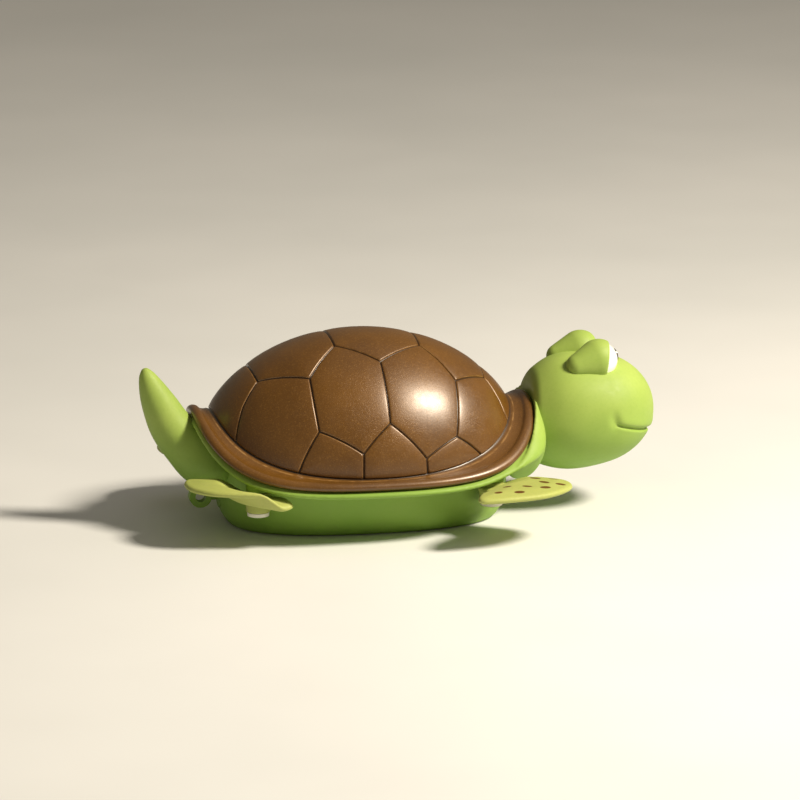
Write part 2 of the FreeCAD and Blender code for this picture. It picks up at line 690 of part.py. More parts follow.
def eye_parts(skull):
    """Right eyeball, hood and pupil, and their mirrored copies, all turned with the head."""
    centre = {"x": "eye_x", "y": "-eye_y", "z": "eye_z"}
    ball_whole = sphere("eyeball_whole", "eye_radius", **centre)
    ball = cut("eyeball_straight", ball_whole, skull)
    hood_whole = sphere("hood_whole", "hood_radius", **centre)
    brow = ellipsoid(
        "brow",
        "brow_half_length",
        "brow_half_width",
        "brow_half_height",
        x="eye_x - brow_back",
        y="-eye_y",
        z="eye_z - brow_drop",
    )
    front_space = box(
        "hood_front_space",
        "2 * hood_radius",
        "4 * hood_radius",
        "4 * hood_radius",
        x="hood_front",
        y="-eye_y - 2 * hood_radius",
        z="eye_z - 2 * hood_radius",
    )
    hood = cut("eye_hood_straight", fuse("hood_blank", hood_whole, brow), ball_whole, skull, front_space)
    pupil_spot = {"x": "eye_x", "y": "-eye_y", "z": "eye_z + pupil_lift", "axis": "X"}
    pupil_rod = cylinder("pupil_rod", "pupil_radius", "2 * eye_radius", **pupil_spot)
    pupil_layer = sphere("pupil_layer", "eye_radius + pupil_thickness", **centre)
    pupil = cut("pupil_straight", common("pupil_blank", pupil_rod, pupil_layer), ball_whole, skull)
    pieces = []
    for name, straight in (("eyeball", ball), ("eye_hood", hood), ("pupil", pupil)):
        pieces.append(turned(f"{name}_right", straight))
        pieces.append(turned(f"{name}_left", mirror(f"{name}_mirrored", straight)))
    return pieces


# The tail's line: centre x and z, radius, and slope there in degrees above level.
TAIL_STATIONS = [
    (cell("tail_root_x"), cell("tail_z"), 10.3, 0),
    (-68.5, 31.4, 10.2, 12),
    (-76.2, 36.3, 9.6, 48),
    (-80.8, 43.6, 8.5, 64),
    (-84.4, 52.2, 6.9, 70),
    (-87.3, 59.2, 4.9, 68),
    (-89.2, 63.4, 2.4, 62),
]


def tail():
    """A horn that curves up from the rear of the hull, with a spigot that is glued in."""
    rings = []
    for x, z, radius, slope in TAIL_STATIONS:
        lean = math.radians(slope)
        along = Vector(-math.cos(lean), 0, math.sin(lean))
        rings.append(Part.Wire([Part.makeCircle(radius, Vector(x, 0, z), along)]))
    horn = feature("tail_horn", Part.makeLoft(rings, True, False))
    tip_x, tip_z, tip_radius, _ = TAIL_STATIONS[-1]
    tip = sphere("tail_tip", tip_radius, x=tip_x, z=tip_z)
    spigot = cylinder(
        "tail_spigot",
        "tail_spigot_radius",
        "tail_spigot_end - tail_root_x",
        x="tail_root_x",
        z="tail_z",
        axis="X",
    )
    return fuse("tail", horn, tip, spigot)


def tether_eye():
    """A small eyelet on a stem, pressed into the rear of the hull."""
    spot = {"x": "eyelet_x", "y": "-eyelet_width / 2", "z": "eyelet_z", "axis": "Y"}
    ring = cylinder("eyelet_ring", "eyelet_radius", "eyelet_width", **spot)
    stem_spot = {"x": "eyelet_x", "z": "eyelet_z", "axis": "X"}
    stem = cylinder("eyelet_stem", "eyelet_stem_radius", "eyelet_stem_end - eyelet_x", **stem_spot)
    hole = cylinder("eyelet_hole", "eyelet_bore", "eyelet_width", **spot)
    return cut("tether_eye", fuse("eyelet_blank", ring, stem), hole)


def flipper(end, heading, outline, profile):
    """A right-hand flipper: a hub on its peg and a blade that rises to the waterline.

    The blade's own x axis runs out from the peg. outline is its plan, a closed curve through
    a few points; profile is its side view, a closed polygon of (x, height)."""
    plan_curve = Part.BSplineCurve()
    plan_curve.interpolate([Vector(x, y, 0) for x, y in outline], PeriodicFlag=True)
    plan = Part.Face(Part.Wire([plan_curve.toShape()])).extrude(Vector(0, 0, TOP))
    corners = [Vector(x, -REACH, z) for x, z in profile]
    side = Part.Face(Part.makePolygon([*corners, corners[0]])).extrude(Vector(0, 2 * REACH, 0))
    blade = feature(f"{end}_blade", plan.common(side))
    blade.Placement.Rotation = FreeCAD.Rotation(Vector(0, 0, 1), heading)
    spot = {"x": f"{end}_peg_x", "y": f"-{end}_peg_y"}
    place(blade, **spot)
    hub = cylinder(f"{end}_hub", "hub_radius", "hub_top - hub_bottom", z="hub_bottom", **spot)
    bore = cylinder(f"{end}_hub_bore", "hub_bore", "hub_top", z="peg_bottom", **spot)
    right = cut(f"flipper_{end}_right", fuse(f"{end}_blade_and_hub", blade, hub), bore)
    return [right, mirror(f"flipper_{end}_left", right)]


def flipper_washers():
    """Push-on washers that hold the flippers on their pegs."""
    washers = []
    for end in ("front", "rear"):
        for side in (1, -1):
            tag = f"{end}_{'left' if side > 0 else 'right'}"
            spot = {"x": f"{end}_peg_x", "y": f"{side} * {end}_peg_y"}
            spot["z"] = "washer_top - washer_thickness"
            disc = cylinder(f"washer_disc_{tag}", "washer_radius", "washer_thickness", **spot)
            hole = cylinder(f"washer_hole_{tag}", "peg_radius", "washer_thickness", **spot)
            washers.append(cut(f"washer_{tag}", disc, hole))
    return group("flipper_washers", *washers)


TUBE_INSIDE = {"x": "-tube_half_length + tube_end_wall", "z": "tube_z", "axis": "X"}


def glass_tube():
    """The sealed glass tube, with a bulb cavity at the rear and a capillary along it."""
    end = {"x": "-tube_half_length", "z": "tube_z", "axis": "X"}
    outside = cylinder("tube_outside", "tube_radius", "2 * tube_half_length", **end)
    bulb = cylinder("bulb_space", "bulb_bore", "bulb_length", **TUBE_INSIDE)
    bore_length = "2 * (tube_half_length - tube_end_wall)"
    capillary = cylinder("capillary", "tube_bore", bore_length, **TUBE_INSIDE)
    return cut("glass_tube", outside, fuse("tube_space", bulb, capillary))


def spirit_column():
    """The red spirit that fills the bulb and part of the capillary."""
    bulb = cylinder("spirit_bulb", "bulb_bore", "bulb_length", **TUBE_INSIDE)
    thread = cylinder("spirit_thread", "tube_bore", "bulb_length + spirit_length", **TUBE_INSIDE)
    return fuse("spirit_column", bulb, thread)


def tube_saddles():
    """Two clips under the scale plate that hold the glass tube."""
    saddles = []
    for side, tag in ((1, "front"), (-1, "rear")):
        block = box(
            f"saddle_block_{tag}",
            "saddle_length",
            "2 * saddle_half_width",
            "bay_depth - plate_thickness - saddle_bottom",
            x=f"{side} * saddle_x - saddle_length / 2",
            y="-saddle_half_width",
            z="saddle_bottom",
        )
        hole = cylinder(
            f"saddle_hole_{tag}",
            "tube_radius",
            "saddle_length",
            x=f"{side} * saddle_x - saddle_length / 2",
            z="tube_z",
            axis="X",
        )
        saddles.append(cut(f"saddle_{tag}", block, hole))
    return group("tube_saddles", *saddles)


def scale_screws():
    """Four small screws that fix the scale plate to the bay's ceiling."""
    screws = []
    for index, (side_x, side_y) in enumerate(SIDES):
        spot = {"x": f"{side_x} * plate_screw_x", "y": f"{side_y} * plate_screw_y"}
        low = "bay_depth - plate_thickness - plate_screw_head_height"
        head = cylinder(
            f"scale_screw_head_{index}", "plate_screw_head_radius", "plate_screw_head_height", z=low, **spot
        )
        shank = cylinder(
            f"scale_screw_shank_{index}",
            "plate_screw_radius",
            "plate_screw_head_height + plate_thickness + plate_screw_bite",
            z=low,
            **spot,
        )
        screws.append(fuse(f"scale_screw_{index}", head, shank))
    return group("scale_screws", *screws)


def hinge_pin():
    """The pin that the cover turns on."""
    return cylinder(
        "cover_hinge_pin",
        "hinge_pin_radius",
        "2 * (bay_half_width + hinge_pin_bite)",
        x="hinge_x",
        y="-bay_half_width - hinge_pin_bite",
        z="hinge_z",
        axis="Y",
    )


# PartDesign bodies: flat pieces drawn as dimensioned sketches.


def sketch(body, name, level):
    """A sketch on the body's own XY plane, moved up to a level from the sheet."""
    drawing = body.newObject("Sketcher::SketchObject", name)
    plane = next(found for found in body.Origin.OriginFeatures if found.Role == "XY_Plane")
    drawing.AttachmentSupport = [(plane, "")]
    drawing.MapMode = "FlatFace"
    drawing.setExpression("AttachmentOffset.Base.z", rule(level))
    return drawing


def dimension(drawing, kind, *geometry, size):
    """A dimension bound to the sheet. size is (factor, alias)."""
    factor, alias = size
    index = drawing.addConstraint(Sketcher.Constraint(kind, *geometry, factor * cell(alias)))
    drawing.setExpression(f"Constraints[{index}]", rule(f"{factor} * {alias}"))


def draw_rectangle(drawing, low_x, high_x, low_y, high_y):
    """A rectangle whose four sides are dimensioned from the origin. Each side is (factor, alias)."""
    x_0, x_1, y_0, y_1 = [factor * cell(alias) for factor, alias in (low_x, high_x, low_y, high_y)]
    corners = [Vector(x_0, y_0, 0), Vector(x_1, y_0, 0), Vector(x_1, y_1, 0), Vector(x_0, y_1, 0)]
    first = drawing.GeometryCount
    for index in range(4):
        drawing.addGeometry(Part.LineSegment(corners[index], corners[(index + 1) % 4]), False)
    for index in range(4):
        drawing.addConstraint(Sketcher.Constraint("Coincident", first + index, 2, first + (index + 1) % 4, 1))
    for index, direction in enumerate(["Horizontal", "Vertical", "Horizontal", "Vertical"]):
        drawing.addConstraint(Sketcher.Constraint(direction, first + index))
    dimension(drawing, "DistanceX", -1, 1, first, 1, size=low_x)
    dimension(drawing, "DistanceY", -1, 1, first, 1, size=low_y)
    dimension(drawing, "DistanceX", -1, 1, first + 1, 2, size=high_x)
    dimension(drawing, "DistanceY", -1, 1, first + 1, 2, size=high_y)


def draw_circle(drawing, centre_x, centre_y, radius):
    """A circle dimensioned from the origin. Each size is (factor, alias)."""
    x, y, size = [factor * cell(alias) for factor, alias in (centre_x, centre_y, radius)]
    circle = drawing.addGeometry(Part.Circle(Vector(x, y, 0), Vector(0, 0, 1), size), False)
    dimension(drawing, "DistanceX", -1, 1, circle, 3, size=centre_x)
    dimension(drawing, "DistanceY", -1, 1, circle, 3, size=centre_y)
    dimension(drawing, "Radius", circle, size=radius)


def pad(body, name, profile, length):
    thing = body.newObject("PartDesign::Pad", name)
    thing.Profile = profile
    thing.setExpression("Length", rule(length))
    return thing


def scale_plate():
    """The plate behind the glass tube, with four screw holes."""
    body = doc.addObject("PartDesign::Body", "scale_plate")
    outline = sketch(body, "scale_plate_outline", "bay_depth - plate_thickness")
    long = "plate_half_length"
    wide = "plate_half_width"
    draw_rectangle(outline, (-1, long), (1, long), (-1, wide), (1, wide))
    for side_x, side_y in SIDES:
        draw_circle(outline, (side_x, "plate_screw_x"), (side_y, "plate_screw_y"), (1, "plate_screw_radius"))
    pad(body, "scale_plate_pad", outline, "plate_thickness")
    return body


def thermometer_cover():
    """A slotted door over the bay, with a knuckle that turns on the hinge pin."""
    body = doc.addObject("PartDesign::Body", "cover_plate")
    outline = sketch(body, "cover_outline", "belly_inset")
    wide = "cover_half_width"
    draw_rectangle(outline, (1, "cover_rear"), (1, "hinge_x"), (-1, wide), (1, wide))
    pad(body, "cover_pad", outline, "cover_thickness")
    slots = sketch(body, "cover_slot_outline", "belly_inset")
    draw_rectangle(slots, (1, "slot_start"), (1, "slot_end"), (1, "slot_inner"), (1, "slot_outer"))
    draw_rectangle(slots, (1, "slot_start"), (1, "slot_end"), (-1, "slot_outer"), (-1, "slot_inner"))
    pocket = body.newObject("PartDesign::Pocket", "cover_slot_pair")
    pocket.Profile = slots
    pocket.Reversed = True
    pocket.setExpression("Length", rule("cover_thickness"))
    pattern = body.newObject("PartDesign::LinearPattern", "cover_slot_pairs")
    pattern.Originals = [pocket]
    pattern.Direction = (slots, ["H_Axis"])
    pattern.setExpression("Length", rule("slot_run"))
    pattern.setExpression("Occurrences", rule("cover_slots"))
    body.Tip = pattern
    spot = {"x": "hinge_x", "y": "-cover_half_width", "z": "hinge_z", "axis": "Y"}
    knuckle = cylinder("cover_knuckle", "knuckle_radius", "2 * cover_half_width", **spot)
    bore = cylinder("cover_bore", "hinge_bore", "2 * cover_half_width", **spot)
    return cut("thermometer_cover", fuse("cover_and_knuckle", body, knuckle), bore)


# Plans of the right-hand blades as (out from the peg, towards the side), and their side views
# as (out from the peg, height). Headings are in degrees from the turtle's nose.

FRONT_HEADING = -60
FRONT_PLAN = [(-3.5, -4.5), (1, 9), (12, 15), (24, 19.5), (35, 8), (35, -11), (26, -30), (18, -23), (13, -11)]
FRONT_PROFILE = [
    *[(-12, 14.7), (9, 14.7), (20, 18.7), (45, 19.2)],
    *[(45, 22.5), (20, 22.5), (9, 18.5), (-12, 18.5)],
]
REAR_HEADING = 180
REAR_PLAN = [
    *[(-4, -2.5), (8, -8), (19, -12), (28, -11.5), (29, 1)],
    *[(21.5, 11.5), (8, 16.5), (-4, 17.5), (-12, 14), (-8, 5)],
]
REAR_PROFILE = [
    *[(-12, 14.7), (7, 14.7), (16, 19.2), (34, 21)],
    *[(34, 24.5), (16, 22.7), (7, 18.5), (-12, 18.5)],
]

skull = ellipsoid("skull", *HEAD_HALF_SIZES, **HEAD_CENTRE)
nodes = [
    carapace(),
    shell_gasket(),
    hull(),
    shell_screws(),
    screw_caps(),
    ballast_weights(),
    ballast_screws(),
    drain_plug(),
    drain_seal(),
    head(skull),
    neck_seal(),
    neck_retainer(),
    *eye_parts(skull),
    tail(),
    tether_eye(),
    *flipper("front", FRONT_HEADING, FRONT_PLAN, FRONT_PROFILE),
    *flipper("rear", REAR_HEADING, REAR_PLAN, REAR_PROFILE),
    flipper_washers(),
    scale_plate(),
    glass_tube(),
    spirit_column(),
    tube_saddles(),
    scale_screws(),
    hinge_pin(),
    thermometer_cover(),
]
doc.recompute()

for thing in doc.Objects:
    if "Invalid" in thing.State or "Error" in thing.State:
        raise RuntimeError(f"{thing.Name} failed: {thing.State}")

for node in nodes:
    shape = node.Shape
    if shape.isNull() or not shape.isValid() or not shape.Solids:
        raise RuntimeError(f"{node.Label} has no valid solid")
    shape.exportStep(os.path.join("parts", node.Label + ".step"))
    bounds = shape.BoundBox
    print(
        f"{node.Label}: {len(shape.Solids)} solids, {shape.Volume:.0f} mm3,"
        f" x {bounds.XMin:.1f}..{bounds.XMax:.1f}, y {bounds.YMin:.1f}..{bounds.YMax:.1f},"
        f" z {bounds.ZMin:.1f}..{bounds.ZMax:.1f}"
    )
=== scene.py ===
import json
import math

import bmesh
import bpy
import numpy as np
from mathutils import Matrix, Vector


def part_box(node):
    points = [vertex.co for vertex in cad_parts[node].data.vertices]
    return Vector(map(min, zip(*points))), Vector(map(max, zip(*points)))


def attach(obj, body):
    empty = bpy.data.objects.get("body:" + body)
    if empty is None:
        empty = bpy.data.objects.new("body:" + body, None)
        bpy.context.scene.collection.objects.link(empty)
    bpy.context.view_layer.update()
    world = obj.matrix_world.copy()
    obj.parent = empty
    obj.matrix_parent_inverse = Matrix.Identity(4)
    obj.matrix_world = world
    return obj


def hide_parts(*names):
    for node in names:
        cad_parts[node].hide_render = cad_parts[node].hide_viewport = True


# A turtle pool thermometer. Shapes are worked out in millimetres in the frame's axes:
# +X is the way the shell points, -Y is the side towards the camera and +Z is up.
# Vertices are scaled to metres when a mesh is made.

MM = 0.001
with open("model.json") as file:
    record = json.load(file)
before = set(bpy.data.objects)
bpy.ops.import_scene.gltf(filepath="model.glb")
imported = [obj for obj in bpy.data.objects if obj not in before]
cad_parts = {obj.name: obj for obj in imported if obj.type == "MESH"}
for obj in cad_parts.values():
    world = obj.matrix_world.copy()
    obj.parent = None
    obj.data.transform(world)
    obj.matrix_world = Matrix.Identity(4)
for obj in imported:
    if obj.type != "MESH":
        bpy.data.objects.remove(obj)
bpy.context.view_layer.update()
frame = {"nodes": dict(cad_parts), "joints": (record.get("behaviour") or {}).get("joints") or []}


def node_box(node):
    """Lowest and highest corner of a CAD node in mm."""
    low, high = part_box(node)
    return np.array(low) / MM, np.array(high) / MM


def node_centre(node):
    low, high = node_box(node)
    return (low + high) / 2


# ---------------------------------------------------------------- dimensions

# Rim and dome, as in the design.
RIM_FOOT = 26.6
RIM_HALF_LENGTH = 71.4
RIM_HALF_WIDTH = 58
RIM_POWER = 2.5
ARCH = 11.2
ARCH_HALF_WIDTH = 61
DOME_CENTRE = np.array([-0.5, 0, 24])
DOME_RADII = np.array([69.5, 50.5, 54.7])
DOME_WALL = 2.4
GUTTER_DEPTH = 1.5
GUTTER_SAG = 0.5
BEAD_HALF_WIDTH = 2.2
BEAD_HALF_HEIGHT = 1.75
RIM_THICKNESS = 3.5

# Scute grooves.
GROOVE_DEPTH = 0.7
GROOVE_HALF_WIDTH = 0.62
SCUTE_CROWN = 0.45
SCUTE_CROWN_REACH = 2.6
SCUTE_SPACING = 0.9
LEAST_GROOVE_POINTS = 3

# Head.
SKULL_CENTRE = np.array([98, 0, 40.8])
SKULL_RADII = np.array([26.8, 25, 23.2])
NAPE_CENTRE = np.array([86, 0, 40])
NAPE_RADII = np.array([17, 22, 22])
THROAT_CENTRE = np.array([87, 0, 37])
THROAT_RADII = np.array([33, 21, 19.5])
HEAD_BACK = 66
RIM_GAP = 0.3
NAPE_ROUNDING = 3.5
EYE_RADIUS = 7.9
HOOD_RADIUS = 8.7
HOOD_FRONT = 3.3
HOOD_TOE_OUT = math.radians(16)
HOOD_TILT = math.radians(7)
HEEL_BACK = 9.6
HEEL_SPLAY = math.radians(5)
HEEL_DROP = 1.7
HEEL_RADIUS = 5.1

eye_right = node_centre("eyeball_right")
eye_left = node_centre("eyeball_left")


# ---------------------------------------------------------------- colour and nodes


def colour(code, alpha=1.0):
    """A linear colour from an sRGB hex code."""
    channels = [int(code[i : i + 2], 16) / 255 for i in (0, 2, 4)]
    linear = [c / 12.92 if c <= 0.04045 else ((c + 0.055) / 1.055) ** 2.4 for c in channels]
    return (*linear, alpha)


class Surface:
    """A material under construction: a principled shader and the nodes that feed it."""

    def __init__(self, name, **settings):
        self.material = bpy.data.materials.new(name)
        self.material.use_nodes = True
        self.tree = self.material.node_tree
        self.shader = self.tree.nodes["Principled BSDF"]
        for socket, value in settings.items():
            self.shader.inputs[socket.replace("_", " ")].default_value = value
        self.place = self.add("ShaderNodeTexCoord").outputs["Object"]

    def add(self, kind, **settings):
        node = self.tree.nodes.new(kind)
        for name, value in settings.items():
            setattr(node, name, value)
        return node

    def link(self, source, target):
        self.tree.links.new(source, target)

    def feed(self, socket, source):
        self.link(source, self.shader.inputs[socket])

    def noise(self, size_mm, detail=4, roughness=0.5, stretch=(1, 1, 1)):
        """Noise whose features are about size_mm across, from 0 to 1."""
        scaled = self.add("ShaderNodeMapping")
        scaled.inputs["Scale"].default_value = [1 / (size_mm * MM * s) for s in stretch]
        self.link(self.place, scaled.inputs["Vector"])
        node = self.add("ShaderNodeTexNoise")
        node.inputs["Scale"].default_value = 1
        node.inputs["Detail"].default_value = detail
        node.inputs["Roughness"].default_value = roughness
        self.link(scaled.outputs["Vector"], node.inputs["Vector"])
        return node.outputs["Fac"]

    def flakes(self, size_mm):
        """A random number from 0 to 1 for each small cell, as in metallic paint."""
        node = self.add("ShaderNodeTexVoronoi")
        node.inputs["Scale"].default_value = 1 / (size_mm * MM)
        self.link(self.place, node.inputs["Vector"])
        split = self.add("ShaderNodeSeparateColor")
        self.link(node.outputs["Color"], split.inputs["Color"])
        return split.outputs["Red"]

    def height(self, low_mm, high_mm):
        """0 below one height and 1 above another."""
        split = self.add("ShaderNodeSeparateXYZ")
        self.link(self.place, split.inputs["Vector"])
        scaled = self.add("ShaderNodeMapRange")
        scaled.inputs["From Min"].default_value = low_mm * MM
        scaled.inputs["From Max"].default_value = high_mm * MM
        self.link(split.outputs["Z"], scaled.inputs["Value"])
        return scaled.outputs["Result"]

    def attribute(self, name):
        return self.add("ShaderNodeAttribute", attribute_name=name).outputs["Fac"]

    def ramp(self, source, *stops):
        """A colour or grey ramp. Each stop is (position, hex code or number)."""
        node = self.add("ShaderNodeValToRGB")
        elements = node.color_ramp.elements
        while len(elements) < len(stops):
            elements.new(0.5)
        for element, (position, value) in zip(elements, stops):
            element.position = position
            element.color = colour(value) if isinstance(value, str) else (value, value, value, 1)
        self.link(source, node.inputs["Fac"])
        return node.outputs["Color"]

    def mix(self, factor, first, second, blend="MIX"):
        """Mixes two colours. factor is a number or an output."""
        node = self.add("ShaderNodeMix", data_type="RGBA", blend_type=blend)
        if isinstance(factor, (int, float)):
            node.inputs[0].default_value = factor
        else:
            self.link(factor, node.inputs[0])
        for socket, value in ((node.inputs[6], first), (node.inputs[7], second)):
            if isinstance(value, str):
                socket.default_value = colour(value)
            else:
                self.link(value, socket)
        return node.outputs[2]

    def bump(self, *layers):
        """Bump from several (height output, depth in mm, strength)."""
        normal = None
        for height, depth, strength in layers:
            node = self.add("ShaderNodeBump")
            node.inputs["Distance"].default_value = depth * MM
            node.inputs["Strength"].default_value = strength
            self.link(height, node.inputs["Height"])
            if normal is not None:
                self.link(normal, node.inputs["Normal"])
            normal = node.outputs["Normal"]
        self.feed("Normal", normal)


def shell_material():
    """Glossy brown moulded plastic with fine flakes, with painted shade in its grooves and painted
    highlights along their sides.
    """
    s = Surface("shell_plastic", Metallic=0.1, Coat_Weight=0.45, Coat_Roughness=0.3)
    patches = s.noise(30, detail=3)
    base = s.ramp(patches, (0.3, "523306"), (0.7, "67430b"))
    flakes = s.flakes(0.4)
    base = s.mix(s.ramp(flakes, (0.78, 0.0), (1.0, 0.22)), base, "9c7234")
    grooves = s.attribute("groove")
    # Painted highlight: a light tan band, broken up by noise, along both sides of each groove, for light
    # caught on the groove walls.
    painted_groove_highlight = s.mix(s.ramp(s.noise(3.5, detail=4), (0.4, 0.15), (0.6, 0.75)), base, "b58c55")
    base = s.mix(s.ramp(grooves, (0.02, 0.0), (0.2, 0.8), (0.42, 0.0)), base, painted_groove_highlight)
    # Painted shade: the bottom of each groove, and the dome's foot at the gutter, turn near black.
    base = s.mix(s.ramp(grooves, (0.5, 0.0), (0.85, 0.8)), base, "201207")
    s.feed("Base Color", base)
    s.feed("Roughness", s.ramp(s.noise(3, detail=6), (0.3, 0.34), (0.7, 0.44)))
    s.bump((flakes, 0.06, 0.35), (s.noise(0.9, detail=5), 0.1, 0.3), (s.noise(9), 0.25, 0.2))
    return s.material


def skin(name, light, dark, spots=False):
    """Satin green plastic with soft tints. Where spots are asked it gets painted brown spots; otherwise
    painted shade turns it a deeper green low down.
    """
    s = Surface(name, Subsurface_Weight=0.06, Specular_IOR_Level=0.3)
    s.shader.inputs["Subsurface Radius"].default_value = (0.004, 0.004, 0.0012)
    base = s.ramp(s.noise(34, detail=2), (0.3, dark), (0.7, light))
    speckle = s.noise(1.4, detail=6, roughness=0.7)
    base = s.mix(s.ramp(speckle, (0.35, 0.12), (0.55, 0.0)), base, "6f8f34")
    if spots:
        edge = s.attribute("spot")
        base = s.mix(s.ramp(edge, (0.42, 0.0), (0.58, 1.0)), base, "5e3d14")
    else:
        # Painted shade: below about 46 mm the skin mixes towards a deeper green, most at about 21 mm and
        # lower.
        base = s.mix(s.ramp(s.height(18, 46), (0.1, 0.6), (1.0, 0.0)), base, "6c9a34")
    s.feed("Base Color", base)
    s.feed("Roughness", s.ramp(s.noise(2.2, detail=5), (0.3, 0.5), (0.7, 0.62)))
    s.bump((s.noise(0.7, detail=5), 0.05, 0.2), (s.noise(14), 0.3, 0.25))
    return s.material


def eye_white_material():
    s = Surface("eye_white", Coat_Weight=0.8, Coat_Roughness=0.06)
    s.feed("Base Color", s.ramp(s.noise(5), (0.3, "f1f0e6"), (0.7, "fafaf4")))
    s.feed("Roughness", s.ramp(s.noise(1.5), (0.3, 0.16), (0.7, 0.24)))
    s.bump((s.noise(2), 0.03, 0.15),)
    return s.material


def pupil_material():
    s = Surface("pupil_black", Coat_Weight=0.9, Coat_Roughness=0.05)
    s.feed("Base Color", s.ramp(s.noise(1.2), (0.3, "0b0b0a"), (0.7, "171614")))
    s.feed("Roughness", s.ramp(s.noise(0.8), (0.3, 0.12), (0.7, 0.2)))
    return s.material


def rubber_material():
    """Matt black rubber with a fine moulded grain."""
    s = Surface("seal_rubber", Specular_IOR_Level=0.35)
    s.feed("Base Color", s.ramp(s.noise(1.1, detail=6), (0.3, "1b1b1c"), (0.7, "2a2a2b")))
    s.feed("Roughness", s.ramp(s.noise(0.6), (0.3, 0.6), (0.7, 0.8)))
    s.bump((s.noise(0.25, detail=3), 0.04, 0.4),)
    return s.material


def foam_material():
    """Closed-cell foam of the gasket."""
    s = Surface("gasket_foam", Specular_IOR_Level=0.2)
    cells = s.flakes(0.35)
    s.feed("Base Color", s.ramp(cells, (0.1, "303234"), (0.9, "44474a")))
    s.feed("Roughness", s.ramp(cells, (0.0, 0.8), (1.0, 0.95)))
    s.bump((cells, 0.08, 0.5),)
    return s.material


def steel_material(name, light, dark, brushed):
    """Steel with turning marks and small stains."""
    s = Surface(name, Metallic=1.0)
    lines = s.noise(0.5, detail=3, stretch=brushed)
    stains = s.ramp(s.noise(2.5), (0.35, 0.5), (0.65, 0.0))
    s.feed("Base Color", s.mix(stains, s.ramp(lines, (0.3, dark), (0.7, light)), dark))
    s.feed("Roughness", s.ramp(lines, (0.3, 0.22), (0.7, 0.42)))
    s.bump((lines, 0.02, 0.3),)
    return s.material


def clear_material(name, tint, roughness, rough_noise_mm):
    """Clear glass or plastic, with faint flow marks."""
    s = Surface(name, Transmission_Weight=0.96, IOR=1.49)
    s.feed("Base Color", s.ramp(s.noise(12), (0.3, tint), (0.7, "ffffff")))
    s.feed("Roughness", s.ramp(s.noise(rough_noise_mm), (0.3, roughness), (0.7, roughness * 2.5)))
    s.bump((s.noise(6), 0.03, 0.1),)
    return s.material


def spirit_material():
    s = Surface("spirit_red", Transmission_Weight=0.15, Coat_Weight=0.6)
    s.feed("Base Color", s.ramp(s.noise(2), (0.3, "b3121a"), (0.7, "d11d22")))
    s.feed("Roughness", s.ramp(s.noise(1), (0.3, 0.12), (0.7, 0.2)))
    return s.material


def plain_plastic(name, light, dark, roughness):
    """Moulded plastic with a light grain, for small technical parts."""
    s = Surface(name, Coat_Weight=0.1)
    s.feed("Base Color", s.ramp(s.noise(4, detail=5), (0.3, dark), (0.7, light)))
    s.feed("Roughness", s.ramp(s.noise(1.2), (0.3, roughness), (0.7, roughness + 0.15)))
    s.bump((s.noise(0.4), 0.03, 0.25),)
    return s.material


def floor_material():
    s = Surface("studio_floor")
    s.feed("Base Color", s.ramp(s.noise(300, detail=2), (0.3, "d9dcde"), (0.7, "e2e4e6")))
    s.feed("Roughness", s.ramp(s.noise(60), (0.3, 0.55), (0.7, 0.65)))
    return s.material


materials = {
    "shell_plastic": shell_material(),
    "skin_plastic": skin("skin_plastic", "a3b85c", "8ca54c"),
    "flipper_plastic": skin("flipper_plastic", "aeb465", "9ca656", spots=True),
    "eye_white": eye_white_material(),
    "pupil_black": pupil_material(),
    "seal_rubber": rubber_material(),
    "gasket_foam": foam_material(),
    "screw_steel": steel_material("screw_steel", "c9ccd0", "9a9da2", (1, 1, 6)),
    "ballast_steel": steel_material("ballast_steel", "8d8f93", "6a6c70", (8, 1, 1)),
    "tube_glass": clear_material("tube_glass", "f2fbf8", 0.01, 8),
    "spirit_red": spirit_material(),
    "scale_white": plain_plastic("scale_white", "f6f6f2", "ecece6", 0.35),
    "scale_ink": plain_plastic("scale_ink", "1c1d20", "0f1012", 0.5),
    "cover_clear": clear_material("cover_clear", "eef6fb", 0.04, 3),
    "clip_plastic": plain_plastic("clip_plastic", "e6e3d8", "d8d4c6", 0.4),
}


# ---------------------------------------------------------------- meshes

WELD_DISTANCE = 0.004
SETTLE_ROUNDS = 3
SETTLE_REACH = 0.05
SETTLE_MOST = 0.6
SETTLE_LEAST_SLOPE = 0.05
TINY = 1e-9
# Grid steps of the moulded pieces.
HEAD_STEP = 0.55
HOOD_STEP = 0.45
EYE_STEP = 0.6
TAIL_STEP = 0.75
COLLAR_STEP = 0.9
FLIPPER_STEP = 0.7


def make_piece(name, vertices, faces, material, body, replaces=(), values=None):
    """A smooth mesh object from points in mm. values are floats per vertex by attribute name."""
    mesh = bpy.data.meshes.new(name)
    corners = [tuple(v) for v in np.asarray(vertices) * MM]
    mesh.from_pydata(corners, [], [tuple(map(int, f)) for f in faces])
    for attribute_name, numbers in (values or {}).items():
        attribute = mesh.attributes.new(attribute_name, "FLOAT", "POINT")
        attribute.data.foreach_set("value", np.asarray(numbers, dtype=np.float32))
    weld(mesh)
    mesh.polygons.foreach_set("use_smooth", [True] * len(mesh.polygons))
    piece = bpy.data.objects.new(name, mesh)
    bpy.context.scene.collection.objects.link(piece)
    piece.data.materials.append(materials[material])
    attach(piece, body)
    if replaces:
        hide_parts(*replaces)


def weld(mesh):
    """Joins vertices that lie together, and points every face outward."""
    built = bmesh.new()
    built.from_mesh(mesh)
    bmesh.ops.remove_doubles(built, verts=built.verts, dist=WELD_DISTANCE * MM)
    bmesh.ops.recalc_face_normals(built, faces=built.faces)
    built.to_mesh(mesh)
    built.free()


